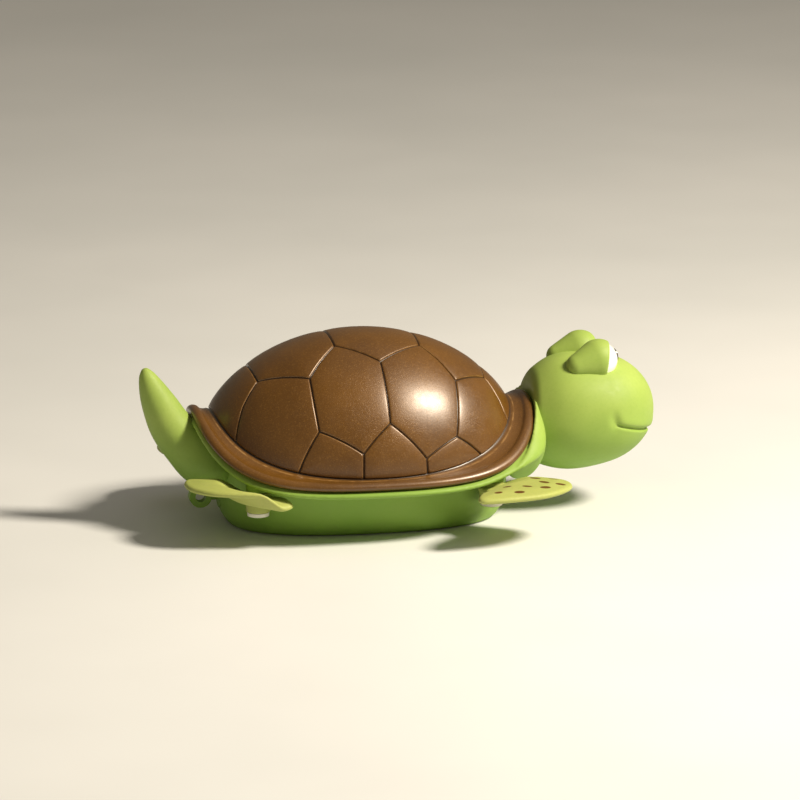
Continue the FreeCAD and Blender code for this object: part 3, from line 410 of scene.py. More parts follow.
def surface_net(field, low, high, step):
    """Points and quads of the closed surface where field is zero, on a grid of that step."""
    # Two steps of margin on each side. The half step takes in the last one.
    axes = [np.arange(a - 2 * step, b + 2.5 * step, step) for a, b in zip(low, high)]
    grid = np.stack(np.meshgrid(*axes, indexing="ij"), axis=-1)
    value = field(grid.reshape(-1, 3)).reshape(grid.shape[:3])
    cells = tuple(n - 1 for n in value.shape)
    total = np.zeros((*cells, 3))
    count = np.zeros(cells)
    crossings = []
    for axis in range(3):
        first = value.take(range(cells[axis]), axis)
        second = value.take(range(1, cells[axis] + 1), axis)
        crossing = (first < 0) != (second < 0)
        share = np.where(crossing, first / np.where(crossing, first - second, 1), 0)
        point = grid.take(range(cells[axis]), axis).copy()
        point[..., axis] += share * step
        crossings.append((crossing, first < 0))
        b, c = (axis + 1) % 3, (axis + 2) % 3
        for shift_b in (0, 1):
            for shift_c in (0, 1):
                window = [slice(None)] * 3
                window[b] = slice(shift_b, shift_b + cells[b])
                window[c] = slice(shift_c, shift_c + cells[c])
                window = tuple(window)
                count += crossing[window]
                total += np.where(crossing[window][..., None], point[window], 0)
    used = count > 0
    index = np.full(cells, -1)
    index[used] = np.arange(used.sum())
    points = total[used] / count[used][:, None]
    faces = []
    for axis in range(3):
        crossing, first_inside = crossings[axis]
        b, c = (axis + 1) % 3, (axis + 2) % 3
        inner = [slice(None)] * 3
        inner[b] = slice(1, cells[b])
        inner[c] = slice(1, cells[c])
        where = np.argwhere(crossing[tuple(inner)])
        inside = first_inside[tuple(inner)][tuple(where.T)]
        where[:, b] += 1
        where[:, c] += 1
        corners = []
        for shift_b, shift_c in ((1, 1), (0, 1), (0, 0), (1, 0)):
            cell = where.copy()
            cell[:, b] -= shift_b
            cell[:, c] -= shift_c
            corners.append(index[tuple(cell.T)])
        quads = np.stack(corners, axis=-1)
        quads[~inside] = quads[~inside][:, ::-1]
        faces.append(quads)
    return points, np.concatenate(faces)


def settle(points, field):
    """Moves points onto the surface where field is zero."""
    for _ in range(SETTLE_ROUNDS):
        value = field(points)
        slopes = []
        for step in SETTLE_REACH * np.eye(3):
            slopes.append((field(points + step) - field(points - step)) / (2 * SETTLE_REACH))
        slope = np.stack(slopes, axis=-1)
        size = np.maximum((slope**2).sum(axis=1), SETTLE_LEAST_SLOPE)
        points = points - (np.clip(value, -SETTLE_MOST, SETTLE_MOST) / size)[:, None] * slope
    return points


def moulded(name, field, low, high, step, material, body, replaces=(), values=None):
    """A piece whose skin is where field is zero. values maps attribute names to functions of points."""
    points, faces = surface_net(field, low, high, step)
    points = settle(points, field)
    numbers = {key: rule(points) for key, rule in (values or {}).items()}
    make_piece(name, points, faces, material, body, replaces, numbers)


# Fields: below zero inside, about the distance in mm outside.


def ellipsoid(points, centre, radii):
    scaled = (points - centre) / radii
    size = np.linalg.norm(scaled, axis=1)
    steep = np.linalg.norm(scaled / radii, axis=1)
    return size * (size - 1) / np.maximum(steep, TINY)


def join(first, second, width):
    """The union of two fields with a fillet of that width."""
    share = np.clip(0.5 + 0.5 * (second - first) / width, 0, 1)
    return second * (1 - share) + first * share - width * share * (1 - share)


def keep(first, second, width):
    """The common part of two fields with a rounded edge of that width."""
    return -join(-first, -second, width)


def smooth_step(value, low, high):
    share = np.clip((value - low) / (high - low), 0, 1)
    return share * share * (3 - 2 * share)


def arch_top(y):
    """Height of the top of the rim's bead."""
    y = np.clip(y, -ARCH_HALF_WIDTH, ARCH_HALF_WIDTH)
    return RIM_FOOT + ARCH * (1 + np.cos(np.pi * y / ARCH_HALF_WIDTH))


def rim_outset(points):
    """About how far points lie outside the rim's outline, in plan."""
    x = np.abs(points[:, 0]) / RIM_HALF_LENGTH
    y = np.abs(points[:, 1]) / RIM_HALF_WIDTH
    size = np.maximum((x**RIM_POWER + y**RIM_POWER) ** (1 / RIM_POWER), TINY)
    slope_x = (x / size) ** (RIM_POWER - 1) / RIM_HALF_LENGTH
    slope_y = (y / size) ** (RIM_POWER - 1) / RIM_HALF_WIDTH
    return (size - 1) / np.maximum(np.hypot(slope_x, slope_y), TINY)


def rim_zone(points, gap):
    """The space that the shell's rim takes, grown by gap."""
    drop = arch_top(points[:, 1]) - points[:, 2]
    return np.maximum(rim_outset(points) - gap, drop - RIM_THICKNESS - gap)


# ---------------------------------------------------------------- shell

# Corners of the grooves, in degrees from the dome's apex: (towards the nose, towards the side).
# Points named in ON_RIM lie where their direction meets the rim.
CORNERS = {
    "A1": (-11, 16.4),
    "A2": (3.3, 31.1),
    "A3": (4.2, 63),
    "A4": (-8.7, 75.5),
    "A5": (-26.1, 60.9),
    "A6": (-23.5, 33.8),
    "B2": (19.6, 14.7),
    "B3": (32.8, 33.8),
    "B4": (35.7, 62.4),
    "B5": (21.9, 76.7),
    "R1": (-41.9, 18.8),
    "R2": (-51.7, 26.7),
    "R3": (-58, 36),
    "L1": (-40.4, 71.7),
    "L2": (-10, 85.5),
    "L3": (24.3, 85.3),
    "L4": (56, 67.6),
    "F1": (47.7, 16.8),
    "F2": (59.8, 29.6),
    "F3": (63, 31.5),
}
ON_RIM = {"R3", "L1", "L2", "L3", "L4", "F3"}
# Scutes as corners in order. A lower-case name is the same corner on the turtle's left side.
MIDDLE_SCUTES = [
    ["B2", "B3", "F1", "f1", "b3", "b2"],
    ["A1", "A2", "B2", "b2", "a2", "a1"],
    ["A1", "A6", "R1", "r1", "a6", "a1"],
    ["R1", "R2", "R3", "r3", "r2", "r1"],
    ["F1", "F2", "F3", "f3", "f2", "f1"],
]
SIDE_SCUTES = [
    ["A6", "R1", "R2", "R3", "L1", "A5"],
    ["A1", "A2", "A3", "A4", "A5", "A6"],
    ["A2", "B2", "B3", "B4", "B5", "A3"],
    ["B3", "F1", "F2", "F3", "L4", "B4"],
    ["A5", "L1", "L2", "A4"],
    ["A4", "L2", "L3", "B5", "A3"],
    ["B5", "L3", "L4", "B4"],
]
# Range of the search for the tilt, in degrees, where the dome meets the gutter.
TILT_LOW = 20.0
TILT_HIGH = 120.0
TILT_ROUNDS = 30
# Rings of a scute: distances from the groove in mm, then shares of what is left.
RINGS_NEAR = [0, 0.22, 0.42, 0.62, 0.85, 1.15, 1.6, 2.3]
RINGS_FAR = [0.86, 0.72, 0.58, 0.44, 0.3, 0.16]
GROOVE_FLOOR = 0.1
# The rim's section: shares of the gutter's width, and angles round the bead in degrees.
GUTTER_SHARES = [0.12, 0.3, 0.5, 0.7, 0.88]
BEAD_ANGLES = range(158, -91, -16)
UNDERSIDE_REACH = 0.8
LINING_SHARES = [1, 0.85, 0.7, 0.55, 0.4, 0.25, 0.1]
EDGE_SHADE = 0.45


def on_dome(plane, inset=0.0):
    """Points of the dome for positions in degrees from its apex."""
    plane = np.asarray(plane, dtype=float)
    tilt = np.radians(np.hypot(plane[..., 0], plane[..., 1]))
    turn = np.arctan2(plane[..., 1], plane[..., 0])
    across = np.sin(tilt)
    direction = np.stack([across * np.cos(turn), -across * np.sin(turn), np.cos(tilt)], axis=-1)
    return DOME_CENTRE + direction * (DOME_RADII - inset)


def rim_position(turn, inset=0.0, drop=GUTTER_DEPTH):
    """Degrees from the apex where the dome meets the gutter, for directions round the apex."""
    low = np.full_like(turn, TILT_LOW)
    high = np.full_like(turn, TILT_HIGH)
    for _ in range(TILT_ROUNDS):
        tilt = (low + high) / 2
        plane = np.stack([tilt * np.cos(turn), tilt * np.sin(turn)], axis=-1)
        point = on_dome(plane, inset)
        above = point[..., 2] > arch_top(point[..., 1]) - drop
        low = np.where(above, tilt, low)
        high = np.where(above, high, tilt)
    return np.stack([low * np.cos(turn), low * np.sin(turn)], axis=-1)


def corner(name):
    x, y = CORNERS[name.upper()]
    if name.islower():
        y = -y
    if name.upper() in ON_RIM:
        return rim_position(np.array([math.atan2(y, x)]))[0]
    return np.array([x, y], dtype=float)


def groove_line(start, end):
    """Points from one corner up to, but without, the next. Both ways give the same points."""
    if start > end:
        return np.concatenate([[corner(start)], groove_line(end, start)[:0:-1]])
    first = corner(start)
    last = corner(end)
    length = np.linalg.norm(on_dome(first) - on_dome(last))
    count = max(LEAST_GROOVE_POINTS, round(length / SCUTE_SPACING))
    share = np.linspace(0, 1, count, endpoint=False)[:, None]
    if start.upper() in ON_RIM and end.upper() in ON_RIM:
        turn_first = math.atan2(first[1], first[0])
        turn_last = math.atan2(last[1], last[0])
        sweep = (turn_last - turn_first + math.pi) % (2 * math.pi) - math.pi
        return rim_position(turn_first + sweep * share[:, 0])
    return first + (last - first) * share


def groove_distance(points, line):
    """Distance from points to a closed line through space, in mm."""
    best = np.full(len(points), np.inf)
    for a, d in zip(line, np.roll(line, -1, axis=0) - line):
        offset = points - a
        share = np.clip(offset @ d / max(d @ d, TINY), 0, 1)
        best = np.minimum(best, np.linalg.norm(offset - share[:, None] * d, axis=1))
    return best


def scute(corners):
    """One crowned scute: rings of points from its grooves to its middle."""
    line = np.concatenate([groove_line(a, b) for a, b in zip(corners, [*corners[1:], corners[0]])])
    middle = line.mean(axis=0)
    reach = np.linalg.norm(on_dome(line) - on_dome(middle), axis=1)
    shares = [1 - distance / reach for distance in RINGS_NEAR]
    shares += [shares[-1] * share for share in RINGS_FAR]
    rings = [middle + (line - middle) * share[:, None] for share in shares]
    plane = np.concatenate([*rings, middle[None]])
    points = on_dome(plane)
    distance = groove_distance(points, on_dome(line))
    valley = 1 - smooth_step(distance, GROOVE_FLOOR, GROOVE_HALF_WIDTH)
    crown = 1 - np.exp(-distance / SCUTE_CROWN_REACH)
    lift = SCUTE_CROWN * (crown - 1) - GROOVE_DEPTH * valley
    normal = (points - DOME_CENTRE) / DOME_RADII**2
    normal /= np.linalg.norm(normal, axis=1)[:, None]
    points = points + normal * lift[:, None]
    count = len(line)
    faces = []
    last = (len(rings) - 1) * count
    for start in range(0, last, count):
        for i in range(count):
            j = (i + 1) % count
            faces.append([start + i, start + j, start + count + j, start + count + i])
    for i in range(count):
        faces.append([last + i, last + (i + 1) % count, len(points) - 1])
    return points, faces, valley


def rim_path(base, turn):
    """The rim's section beyond one point of the dome's edge: points outward, round and under."""
    ahead = abs(math.cos(turn)) / RIM_HALF_LENGTH
    aside = abs(math.sin(turn)) / RIM_HALF_WIDTH
    outer = (ahead**RIM_POWER + aside**RIM_POWER) ** (-1 / RIM_POWER)
    width = outer - math.hypot(base[0], base[1])
    path = []
    bead_start = math.radians(BEAD_ANGLES[0])
    bead_edge = BEAD_HALF_WIDTH * (1 - math.cos(bead_start))
    bead_level = BEAD_HALF_HEIGHT * (math.sin(bead_start) - 1)
    for share in GUTTER_SHARES:
        level = -GUTTER_DEPTH * (1 - share) + bead_level * share - GUTTER_SAG * 4 * share * (1 - share)
        path.append((width + (bead_edge - width) * share, level))
    for degrees in BEAD_ANGLES:
        angle = math.radians(degrees)
        path.append((BEAD_HALF_WIDTH * (1 - math.cos(angle)), BEAD_HALF_HEIGHT * (math.sin(angle) - 1)))
    path.append((width * UNDERSIDE_REACH, -RIM_THICKNESS))
    points = []
    for inward, level in path:
        x = (outer - inward) * math.cos(turn)
        y = (outer - inward) * math.sin(turn)
        points.append((x, y, float(arch_top(np.array(y))) + level))
    return points


def make_carapace():
    """The shell: nineteen scutes with grooves between them on a rim with a gutter and a bead."""
    vertices = []
    faces = []
    grooves = []

    def add(points, quads, valley):
        start = sum(len(block) for block in vertices)
        vertices.append(np.asarray(points))
        faces.extend([[start + i for i in quad] for quad in quads])
        grooves.append(np.asarray(valley))

    for corners in MIDDLE_SCUTES:
        add(*scute(corners))
    for corners in SIDE_SCUTES:
        add(*scute(corners))
        add(*scute([name.swapcase() for name in corners]))
    edge_names = ["R3", "L1", "L2", "L3", "L4", "F3", "f3", "l4", "l3", "l2", "l1", "r3"]
    edge = np.concatenate([groove_line(a, b) for a, b in zip(edge_names, [*edge_names[1:], edge_names[0]])])
    base = on_dome(edge)
    normal = (base - DOME_CENTRE) / DOME_RADII**2
    normal /= np.linalg.norm(normal, axis=1)[:, None]
    sunk = base - normal * (GROOVE_DEPTH + SCUTE_CROWN)
    rows = [[tuple(point)] for point in sunk]
    for row, point in zip(rows, base):
        row.extend(rim_path(point, math.atan2(point[1], point[0])))
    turns = np.arctan2(edge[:, 1], edge[:, 0])
    inner = rim_position(turns, DOME_WALL, RIM_THICKNESS)
    for share in LINING_SHARES:
        for row, point in zip(rows, on_dome(inner * share, DOME_WALL)):
            row.append(tuple(point))
    length = len(rows[0])
    points = np.array([point for row in rows for point in row])
    count = len(rows)
    quads = []
    for i in range(count):
        j = (i + 1) % count
        for k in range(length - 1):
            quads.append([i * length + k, i * length + k + 1, j * length + k + 1, j * length + k])
    top = np.array([on_dome(np.zeros(2), DOME_WALL)])
    points = np.concatenate([points, top])
    for i in range(count):
        quads.append([i * length + length - 1, len(points) - 1, ((i + 1) % count) * length + length - 1])
    valley = np.zeros(len(points))
    # Painted shade at the dome's foot where it meets the gutter, with the painted groove highlight in the
    # gutter's first strip.
    valley[0 : count * length : length] = 1
    valley[1 : count * length : length] = EDGE_SHADE
    add(points, quads, valley)
    make_piece(
        "shell_carapace",
        np.concatenate(vertices),
        faces,
        "shell_plastic",
        "float",
        ["carapace"],
        {"groove": np.concatenate(grooves)},
    )


# ---------------------------------------------------------------- head

eye_line = eye_left - eye_right
HEAD_TURN = math.atan2(-eye_line[0], eye_line[1])
NAPE_FILLET = 9
THROAT_FILLET = 6
HEAD_BACK_ROUNDING = 0.6
# The mouth is a crease round the front. Levels are from the skull's centre and the mouth line.
MOUTH_LEVEL = -8.8
MOUTH_RISE = 6.2
MOUTH_DEPTH = 1.5
MOUTH_HALF_WIDTH = 0.75
MOUTH_CORNER = 1.53
MOUTH_FADE_IN = 0.12
MOUTH_FADE_OUT = 0.02
LIP_FULLNESS = 0.35
LIP_LEVEL = 2.2
LIP_HALF_HEIGHT = 2.6
CHEEK_DEPTH = 0.9
CHEEK_HALF_ANGLE = 0.09
CHEEK_LEVEL = 1.5
CHEEK_HALF_HEIGHT = 3.4
HEAD_LOW = np.array([HEAD_BACK, -27, 14])
HEAD_HIGH = np.array([127.5, 27, 67])
# How pieces sit against the skull and the eyeballs.
SKULL_SINK = 1.2
HOOD_EDGE_ROUNDING = 0.7
HOOD_BALL_GAP = 0.04
HOOD_BALL_ROUNDING = 0.05
HOOD_FOOT_ROUNDING = 0.3
HOOD_BELOW = np.array([18, 13, 13])
HOOD_ABOVE = np.array([9, 13, 10])


def head_axes(points):
    """Points in the head's own frame: ahead of, left of and above the skull's centre."""
    offset = points - SKULL_CENTRE
    cosine = math.cos(HEAD_TURN)
    sine = math.sin(HEAD_TURN)
    ahead = offset[:, 0] * cosine + offset[:, 1] * sine
    left = -offset[:, 0] * sine + offset[:, 1] * cosine
    return ahead, left, offset[:, 2]


def mouth_angle(points):
    """How far round the head points are from its nose, and their height above the mouth line."""
    ahead, left, up = head_axes(points)
    angle = np.abs(np.arctan2(left, ahead))
    line = MOUTH_LEVEL + MOUTH_RISE * (angle / MOUTH_CORNER) ** 2
    return angle, up - line


def head_body(points):
    """Skull, nape and throat without the mouth."""
    skull = ellipsoid(points, SKULL_CENTRE, SKULL_RADII)
    nape = ellipsoid(points, NAPE_CENTRE, NAPE_RADII)
    throat = ellipsoid(points, THROAT_CENTRE, THROAT_RADII)
    body = join(join(skull, nape, NAPE_FILLET), throat, THROAT_FILLET)
    body = keep(body, HEAD_BACK - points[:, 0], HEAD_BACK_ROUNDING)
    return keep(body, -rim_zone(points, RIM_GAP), NAPE_ROUNDING)


def bell(value, middle, half_width):
    """1 at the middle, falling off smoothly to either side."""
    return np.exp(-(((value - middle) / half_width) ** 2))


def head_field(points):
    body = head_body(points)
    angle, above = mouth_angle(points)
    ends = 1 - smooth_step(angle, MOUTH_CORNER - MOUTH_FADE_IN, MOUTH_CORNER + MOUTH_FADE_OUT)
    crease = bell(above, 0, MOUTH_HALF_WIDTH) * ends * MOUTH_DEPTH
    lip = bell(above, LIP_LEVEL, LIP_HALF_HEIGHT) * LIP_FULLNESS * ends
    beside = bell(angle, MOUTH_CORNER, CHEEK_HALF_ANGLE)
    cheek = CHEEK_DEPTH * beside * bell(above, CHEEK_LEVEL, CHEEK_HALF_HEIGHT)
    return body + crease + cheek - lip


def make_head():
    moulded(
        "head_skin",
        head_field,
        HEAD_LOW,
        HEAD_HIGH,
        HEAD_STEP,
        "skin_plastic",
        "float",
        ["head"],
    )


def tapered(points, start, end, start_radius, end_radius):
    """Two balls of different sizes and the cone that touches both."""
    along = end - start
    length = np.linalg.norm(along)
    offset = points - start
    far = offset @ along / length
    side = np.linalg.norm(offset - far[:, None] * along / length, axis=1)
    sine = (start_radius - end_radius) / length
    cosine = math.sqrt(1 - sine * sine)
    reach = far - side * sine / cosine
    near_ball = np.linalg.norm(offset, axis=1) - start_radius
    far_ball = np.linalg.norm(points - end, axis=1) - end_radius
    cone = side * cosine + far * sine - start_radius
    return np.where(reach < 0, near_ball, np.where(reach > length, far_ball, cone))


def level_direction(turn):
    return np.array([math.cos(turn), math.sin(turn), 0])


def hood_field(centre, side):
    """The hood over one eyeball: a cap with a heel that runs back and out over the skull."""
    facing = level_direction(HEAD_TURN + side * HOOD_TOE_OUT) * math.cos(HOOD_TILT)
    facing[2] = -math.sin(HOOD_TILT)
    heel = centre - level_direction(HEAD_TURN - side * HEEL_SPLAY) * HEEL_BACK
    heel[2] -= HEEL_DROP

    def field(points):
        ahead = (points - centre) @ facing
        ball = np.linalg.norm(points - centre, axis=1)
        cap = tapered(points, centre, heel, HOOD_RADIUS, HEEL_RADIUS)
        cap = keep(cap, ahead - HOOD_FRONT, HOOD_EDGE_ROUNDING)
        cap = keep(cap, EYE_RADIUS + HOOD_BALL_GAP - ball, HOOD_BALL_ROUNDING)
        return keep(cap, -head_body(points) - SKULL_SINK, HOOD_FOOT_ROUNDING)

    return field


def eye_centre(name):
    """Centre of an eyeball. The CAD ball is cut off below by the skull, so its top gives the height."""
    low, high = node_box(f"eyeball_{name}")
    centre = (low + high) / 2
    centre[2] = high[2] - EYE_RADIUS
    return centre


def make_eyes():
    for side, name in ((-1, "right"), (1, "left")):
        centre = eye_centre(name)
        moulded(
            f"eye_hood_skin_{name}",
            hood_field(centre, side),
            centre - HOOD_BELOW,
            centre + HOOD_ABOVE,
            HOOD_STEP,
            "skin_plastic",
            "float",
            [f"eye_hood_{name}"],
        )

        def ball(points, centre=centre):
            return np.linalg.norm(points - centre, axis=1) - EYE_RADIUS

        moulded(
            f"eye_white_{name}",
            ball,
            centre - EYE_RADIUS,
            centre + EYE_RADIUS,
            EYE_STEP,
            "eye_white",
            "float",
            [f"eyeball_{name}"],
        )


# ---------------------------------------------------------------- tail and collar

# Stations of the tail: centre x and z, and radius.
TAIL = np.array(
    [
        (-62.5, 29.5, 11.0),
        (-68.5, 31.0, 10.6),
        (-74.5, 35.0, 9.8),
        (-79.6, 41.5, 8.8),
        (-83.2, 48.5, 7.6),
        (-86.2, 55.0, 6.0),
        (-88.6, 61.0, 3.9),
        (-89.6, 64.0, 2.2),
    ]
)
TAIL_ROOT_CENTRE = np.array([-63, 0, 26])
TAIL_ROOT_RADII = np.array([12.5, 19, 11])
TAIL_ROOT_FILLET = 8
TAIL_RIM_GAP = 0.25
TAIL_RIM_ROUNDING = 0.4
TAIL_SUBDIVISIONS = 6
TAIL_LOW = np.array([-93, -20, 14])
TAIL_HIGH = np.array([-50, 20, 67])


def spline(points, steps):
    """Points on a smooth line through the given ones, from the second up to the last but one."""
    out = []
    for a, b, c, d in zip(points, points[1:], points[2:], points[3:]):
        slope = c - a
        bend = 2 * a - 5 * b + 4 * c - d
        twist = 3 * b - a - 3 * c + d
        for step in range(steps):
            t = step / steps
            out.append(0.5 * (2 * b + slope * t + bend * t**2 + twist * t**3))
    return out


def tail_line():
    """Finer stations of the tail, on a smooth line through the given ones."""
    before = 2 * TAIL[0] - TAIL[1]
    after = 2 * TAIL[-1] - TAIL[-2]
    padded = np.concatenate([[before], TAIL, [after]])
    return np.array([*spline(padded, TAIL_SUBDIVISIONS), TAIL[-1]])


TAIL_LINE = tail_line()


def tail_field(points):
    horn = np.full(len(points), np.inf)
    for (x0, z0, r0), (x1, z1, r1) in zip(TAIL_LINE, TAIL_LINE[1:]):
        start = np.array([x0, 0, z0])
        along = np.array([x1 - x0, 0, z1 - z0])
        offset = points - start
        share = np.clip(offset @ along / (along @ along), 0, 1)
        away = np.linalg.norm(offset - share[:, None] * along, axis=1)
        horn = np.minimum(horn, away - (r0 + (r1 - r0) * share))
    whole = join(horn, ellipsoid(points, TAIL_ROOT_CENTRE, TAIL_ROOT_RADII), TAIL_ROOT_FILLET)
    return keep(whole, -rim_zone(points, TAIL_RIM_GAP), TAIL_RIM_ROUNDING)


def make_tail():
    moulded(
        "tail_skin",
        tail_field,
        TAIL_LOW,
        TAIL_HIGH,
        TAIL_STEP,
        "skin_plastic",
        "float",
        ["tail"],
    )


COLLAR_GAP = 0.15
COLLAR_TOP = RIM_THICKNESS + COLLAR_GAP
COLLAR_EDGE = 0.45
COLLAR_SWELL = 4.6
COLLAR_INSET = 6
COLLAR_SIDE_HEIGHT = 2.6
# Share of its half height by which the band's middle lies under its top.
COLLAR_SINK = 0.45
COLLAR_RIM_ROUNDING = 1.5
COLLAR_HEAD_ROUNDING = 0.4
# The shoulders grow between these x, and fade between these distances from the middle.
SHOULDER_X = (36, 62)
SHOULDER_Y = (30, 50)
# The band's lower side rises between these distances from the middle, to clear the flippers.
COLLAR_FLOOR = 16
COLLAR_FLOOR_RISE = 8.5
COLLAR_FLOOR_Y = (18, 32)
COLLAR_LOW = np.array([-74, -61, 14])
COLLAR_HIGH = np.array([79, 61, 48])


def collar_field(points):
    """The green edge of the body under the rim, which swells into shoulders at the front."""
    x, y, z = points.T
    top = arch_top(y)
    front = smooth_step(x, *SHOULDER_X) * (1 - smooth_step(np.abs(y), *SHOULDER_Y))
    reach = COLLAR_INSET + COLLAR_EDGE + COLLAR_SWELL * front
    floor = COLLAR_FLOOR + COLLAR_FLOOR_RISE * smooth_step(np.abs(y), *COLLAR_FLOOR_Y)
    tall = np.maximum(top - COLLAR_TOP - floor, COLLAR_SIDE_HEIGHT) / (1 + COLLAR_SINK)
    half_height = COLLAR_SIDE_HEIGHT + (tall - COLLAR_SIDE_HEIGHT) * front
    middle = COLLAR_TOP + COLLAR_SINK * half_height
    out = (rim_outset(points) + COLLAR_INSET) / reach
    below = (top - z - middle) / half_height
    band = (np.hypot(out, below) - 1) * np.minimum(reach, half_height)
    band = keep(band, -rim_zone(points, RIM_GAP), COLLAR_RIM_ROUNDING)
    return keep(band, -head_body(points) - SKULL_SINK, COLLAR_HEAD_ROUNDING)


def make_collar():
    moulded(
        "hull_collar",
        collar_field,
        COLLAR_LOW,
        COLLAR_HIGH,
        COLLAR_STEP,
        "skin_plastic",
        "float",
    )


# ---------------------------------------------------------------- flippers

# Plans of the right-hand blades from their pegs: (out, towards the nose side), in mm.
FRONT_BLADE = {
    "heading": -60,
    "plan": [
        (-3.5, -4.5), (1, 9), (12, 15), (24, 19.5), (33, 14),
        (36.5, 0), (34, -13), (26, -29), (18, -23), (13, -11),
    ],
    "level": 21.6,
    "half_thickness": 1.75,
    "spots": True,
}
REAR_BLADE = {
    "heading": 180,
    "plan": [
        (-4, -2.5), (8, -8), (19, -12), (28, -11.5), (29, 1),
        (21.5, 11.5), (8, 16.5), (-4, 17.5), (-12, 14), (-8, 5),
    ],
    "level": 23.6,
    "half_thickness": 1.7,
    "spots": False,
}
ROOT_LEVEL = 18
LIP_DROP = 7.2
LIP_CLEARANCE = 3.1
HUB_RADIUS = 5
HUB_BORE = 2.55
HUB_BOTTOM = 12.7
HUB_TOP = 21.2
HUB_ROUNDING = 0.4
HUB_FILLET = 1.0
HUB_CUT_ROUNDING = 0.2
# Beyond the hub's wall, the plane that trims its top climbs out of the blade's way.
HUB_TRIM_RISE = 40
HUB_TRIM_REACH = 4
# The blade climbs between these distances, from the rim's outline and from the peg.
BLADE_RIM_REACH = (2, 8)
BLADE_HUB_REACH = (4, 18)
BLADE_CAMBER = 0.6
BLADE_CAMBER_REACH = 9
BLADE_EDGE_SHARE = 0.72
BLADE_EDGE_REACH = 8
BLADE_ROUNDING = 2.0
FLIPPER_MARGIN = 2
OUTLINE_SUBDIVISIONS = 10
SPOT_REACH = 1.5
# Spots of a front flipper: (out, towards the nose side, length, width, turn in degrees).
SPOTS = [
    (17, 8.5, 5.0, 2.6, 20),
    (22, 14, 4.2, 2.4, 40),
    (24.5, 6.5, 5.2, 2.8, 10),
    (30, 10.5, 4.4, 2.4, 55),
    (30.5, 1.5, 4.8, 2.6, 70),
    (25, -3.5, 4.4, 2.4, 30),
    (29, -11.5, 4.6, 2.5, 65),
    (19.5, -9.5, 3.6, 2.2, 50),
    (24.5, -19, 3.8, 2.2, 75),
]


def closed_outline(plan):
    corners = np.array(plan, dtype=float)
    looped = np.concatenate([corners[-1:], corners, corners[:2]])
    return np.array(spline(looped, OUTLINE_SUBDIVISIONS))


def outline_field(points, outline):
    """Signed distance to a closed outline in plan, below zero inside."""
    best = np.full(len(points), np.inf)
    inside = np.zeros(len(points), dtype=bool)
    for a, b in zip(outline, np.roll(outline, -1, axis=0)):
        along = b - a
        offset = points - a
        share = np.clip(offset @ along / max(along @ along, TINY), 0, 1)
        best = np.minimum(best, np.linalg.norm(offset - share[:, None] * along, axis=1))
        crosses = (a[1] > points[:, 1]) != (b[1] > points[:, 1])
        with np.errstate(divide="ignore", invalid="ignore"):
            at = a[0] + (points[:, 1] - a[1]) * along[0] / (along[1] if along[1] else TINY)
        inside ^= crosses & (points[:, 0] < at)
    return np.where(inside, -best, best)


def flipper_frame(points, peg, heading, side):
    """Points in the blade's own plan: out from the peg and towards the nose side, and height."""
    offset = points - peg
    out_x = math.cos(math.radians(heading))
    out_y = math.sin(math.radians(heading))
    mirrored = offset[:, 1] * -side
    out = offset[:, 0] * out_x + mirrored * out_y
    fore = -offset[:, 0] * out_y + mirrored * out_x
    return out, fore, points[:, 2]


def make_flipper(end, side, blade):
    """One flipper with its hub. side is -1 for the turtle's right."""
    name = f"flipper_{end}_{'right' if side < 0 else 'left'}"
    joint = next(j for j in frame["joints"] if j["child"] == name)
    peg = np.array(joint["pos_m"]) / MM
    outline = closed_outline(blade["plan"])
    thickness = blade["half_thickness"]

    def middle(points, hub_distance):
        """Height of the middle of the blade: low at the hub and under the lip, and higher outside."""
        lip = arch_top(points[:, 1]) - LIP_DROP - LIP_CLEARANCE
        outside = smooth_step(rim_outset(points), *BLADE_RIM_REACH)
        level = blade["level"] * outside + np.minimum(blade["level"], lip) * (1 - outside)
        return ROOT_LEVEL + (level - ROOT_LEVEL) * smooth_step(hub_distance, *BLADE_HUB_REACH)

    def field(points):
        out, fore, height = flipper_frame(points, peg, blade["heading"], side)
        hub_distance = np.hypot(out, fore)
        plan = outline_field(np.stack([out, fore], axis=-1), outline)
        camber = BLADE_CAMBER * smooth_step(-plan, 0, BLADE_CAMBER_REACH)
        above = height - middle(points, hub_distance) - camber
        fullness = smooth_step(-plan, 0, BLADE_EDGE_REACH)
        slab = np.abs(above) - thickness * (BLADE_EDGE_SHARE + (1 - BLADE_EDGE_SHARE) * fullness)
        leaf = keep(plan, slab, BLADE_ROUNDING)
        ends = np.maximum(height - HUB_TOP, HUB_BOTTOM - height)
        whole = join(leaf, keep(hub_distance - HUB_RADIUS, ends, HUB_ROUNDING), HUB_FILLET)
        trim = HUB_TRIM_RISE * smooth_step(hub_distance, HUB_RADIUS, HUB_RADIUS + HUB_TRIM_REACH)
        whole = keep(whole, height - HUB_TOP - trim, HUB_CUT_ROUNDING)
        return keep(whole, HUB_BORE - hub_distance, HUB_CUT_ROUNDING)

    def spot(points):
        out, fore, height = flipper_frame(points, peg, blade["heading"], side)
        best = np.zeros(len(points))
        for spot_out, spot_fore, length, width, turn in SPOTS if blade["spots"] else []:
            angle = math.radians(turn)
            a = (out - spot_out) * math.cos(angle) + (fore - spot_fore) * math.sin(angle)
            b = -(out - spot_out) * math.sin(angle) + (fore - spot_fore) * math.cos(angle)
            away = np.hypot(a / (length / 2), b / (width / 2))
            best = np.maximum(best, np.clip(SPOT_REACH - away, 0, 1))
        return best * (height > middle(points, np.hypot(out, fore)))

    low, high = node_box(name)
    moulded(
        f"{name}_skin",
        field,
        low - FLIPPER_MARGIN,
        high + FLIPPER_MARGIN,
        FLIPPER_STEP,
        "flipper_plastic",
        name,
        [name],
        {"spot": spot} if blade["spots"] else None,
    )


# ---------------------------------------------------------------- scale and CAD finishes

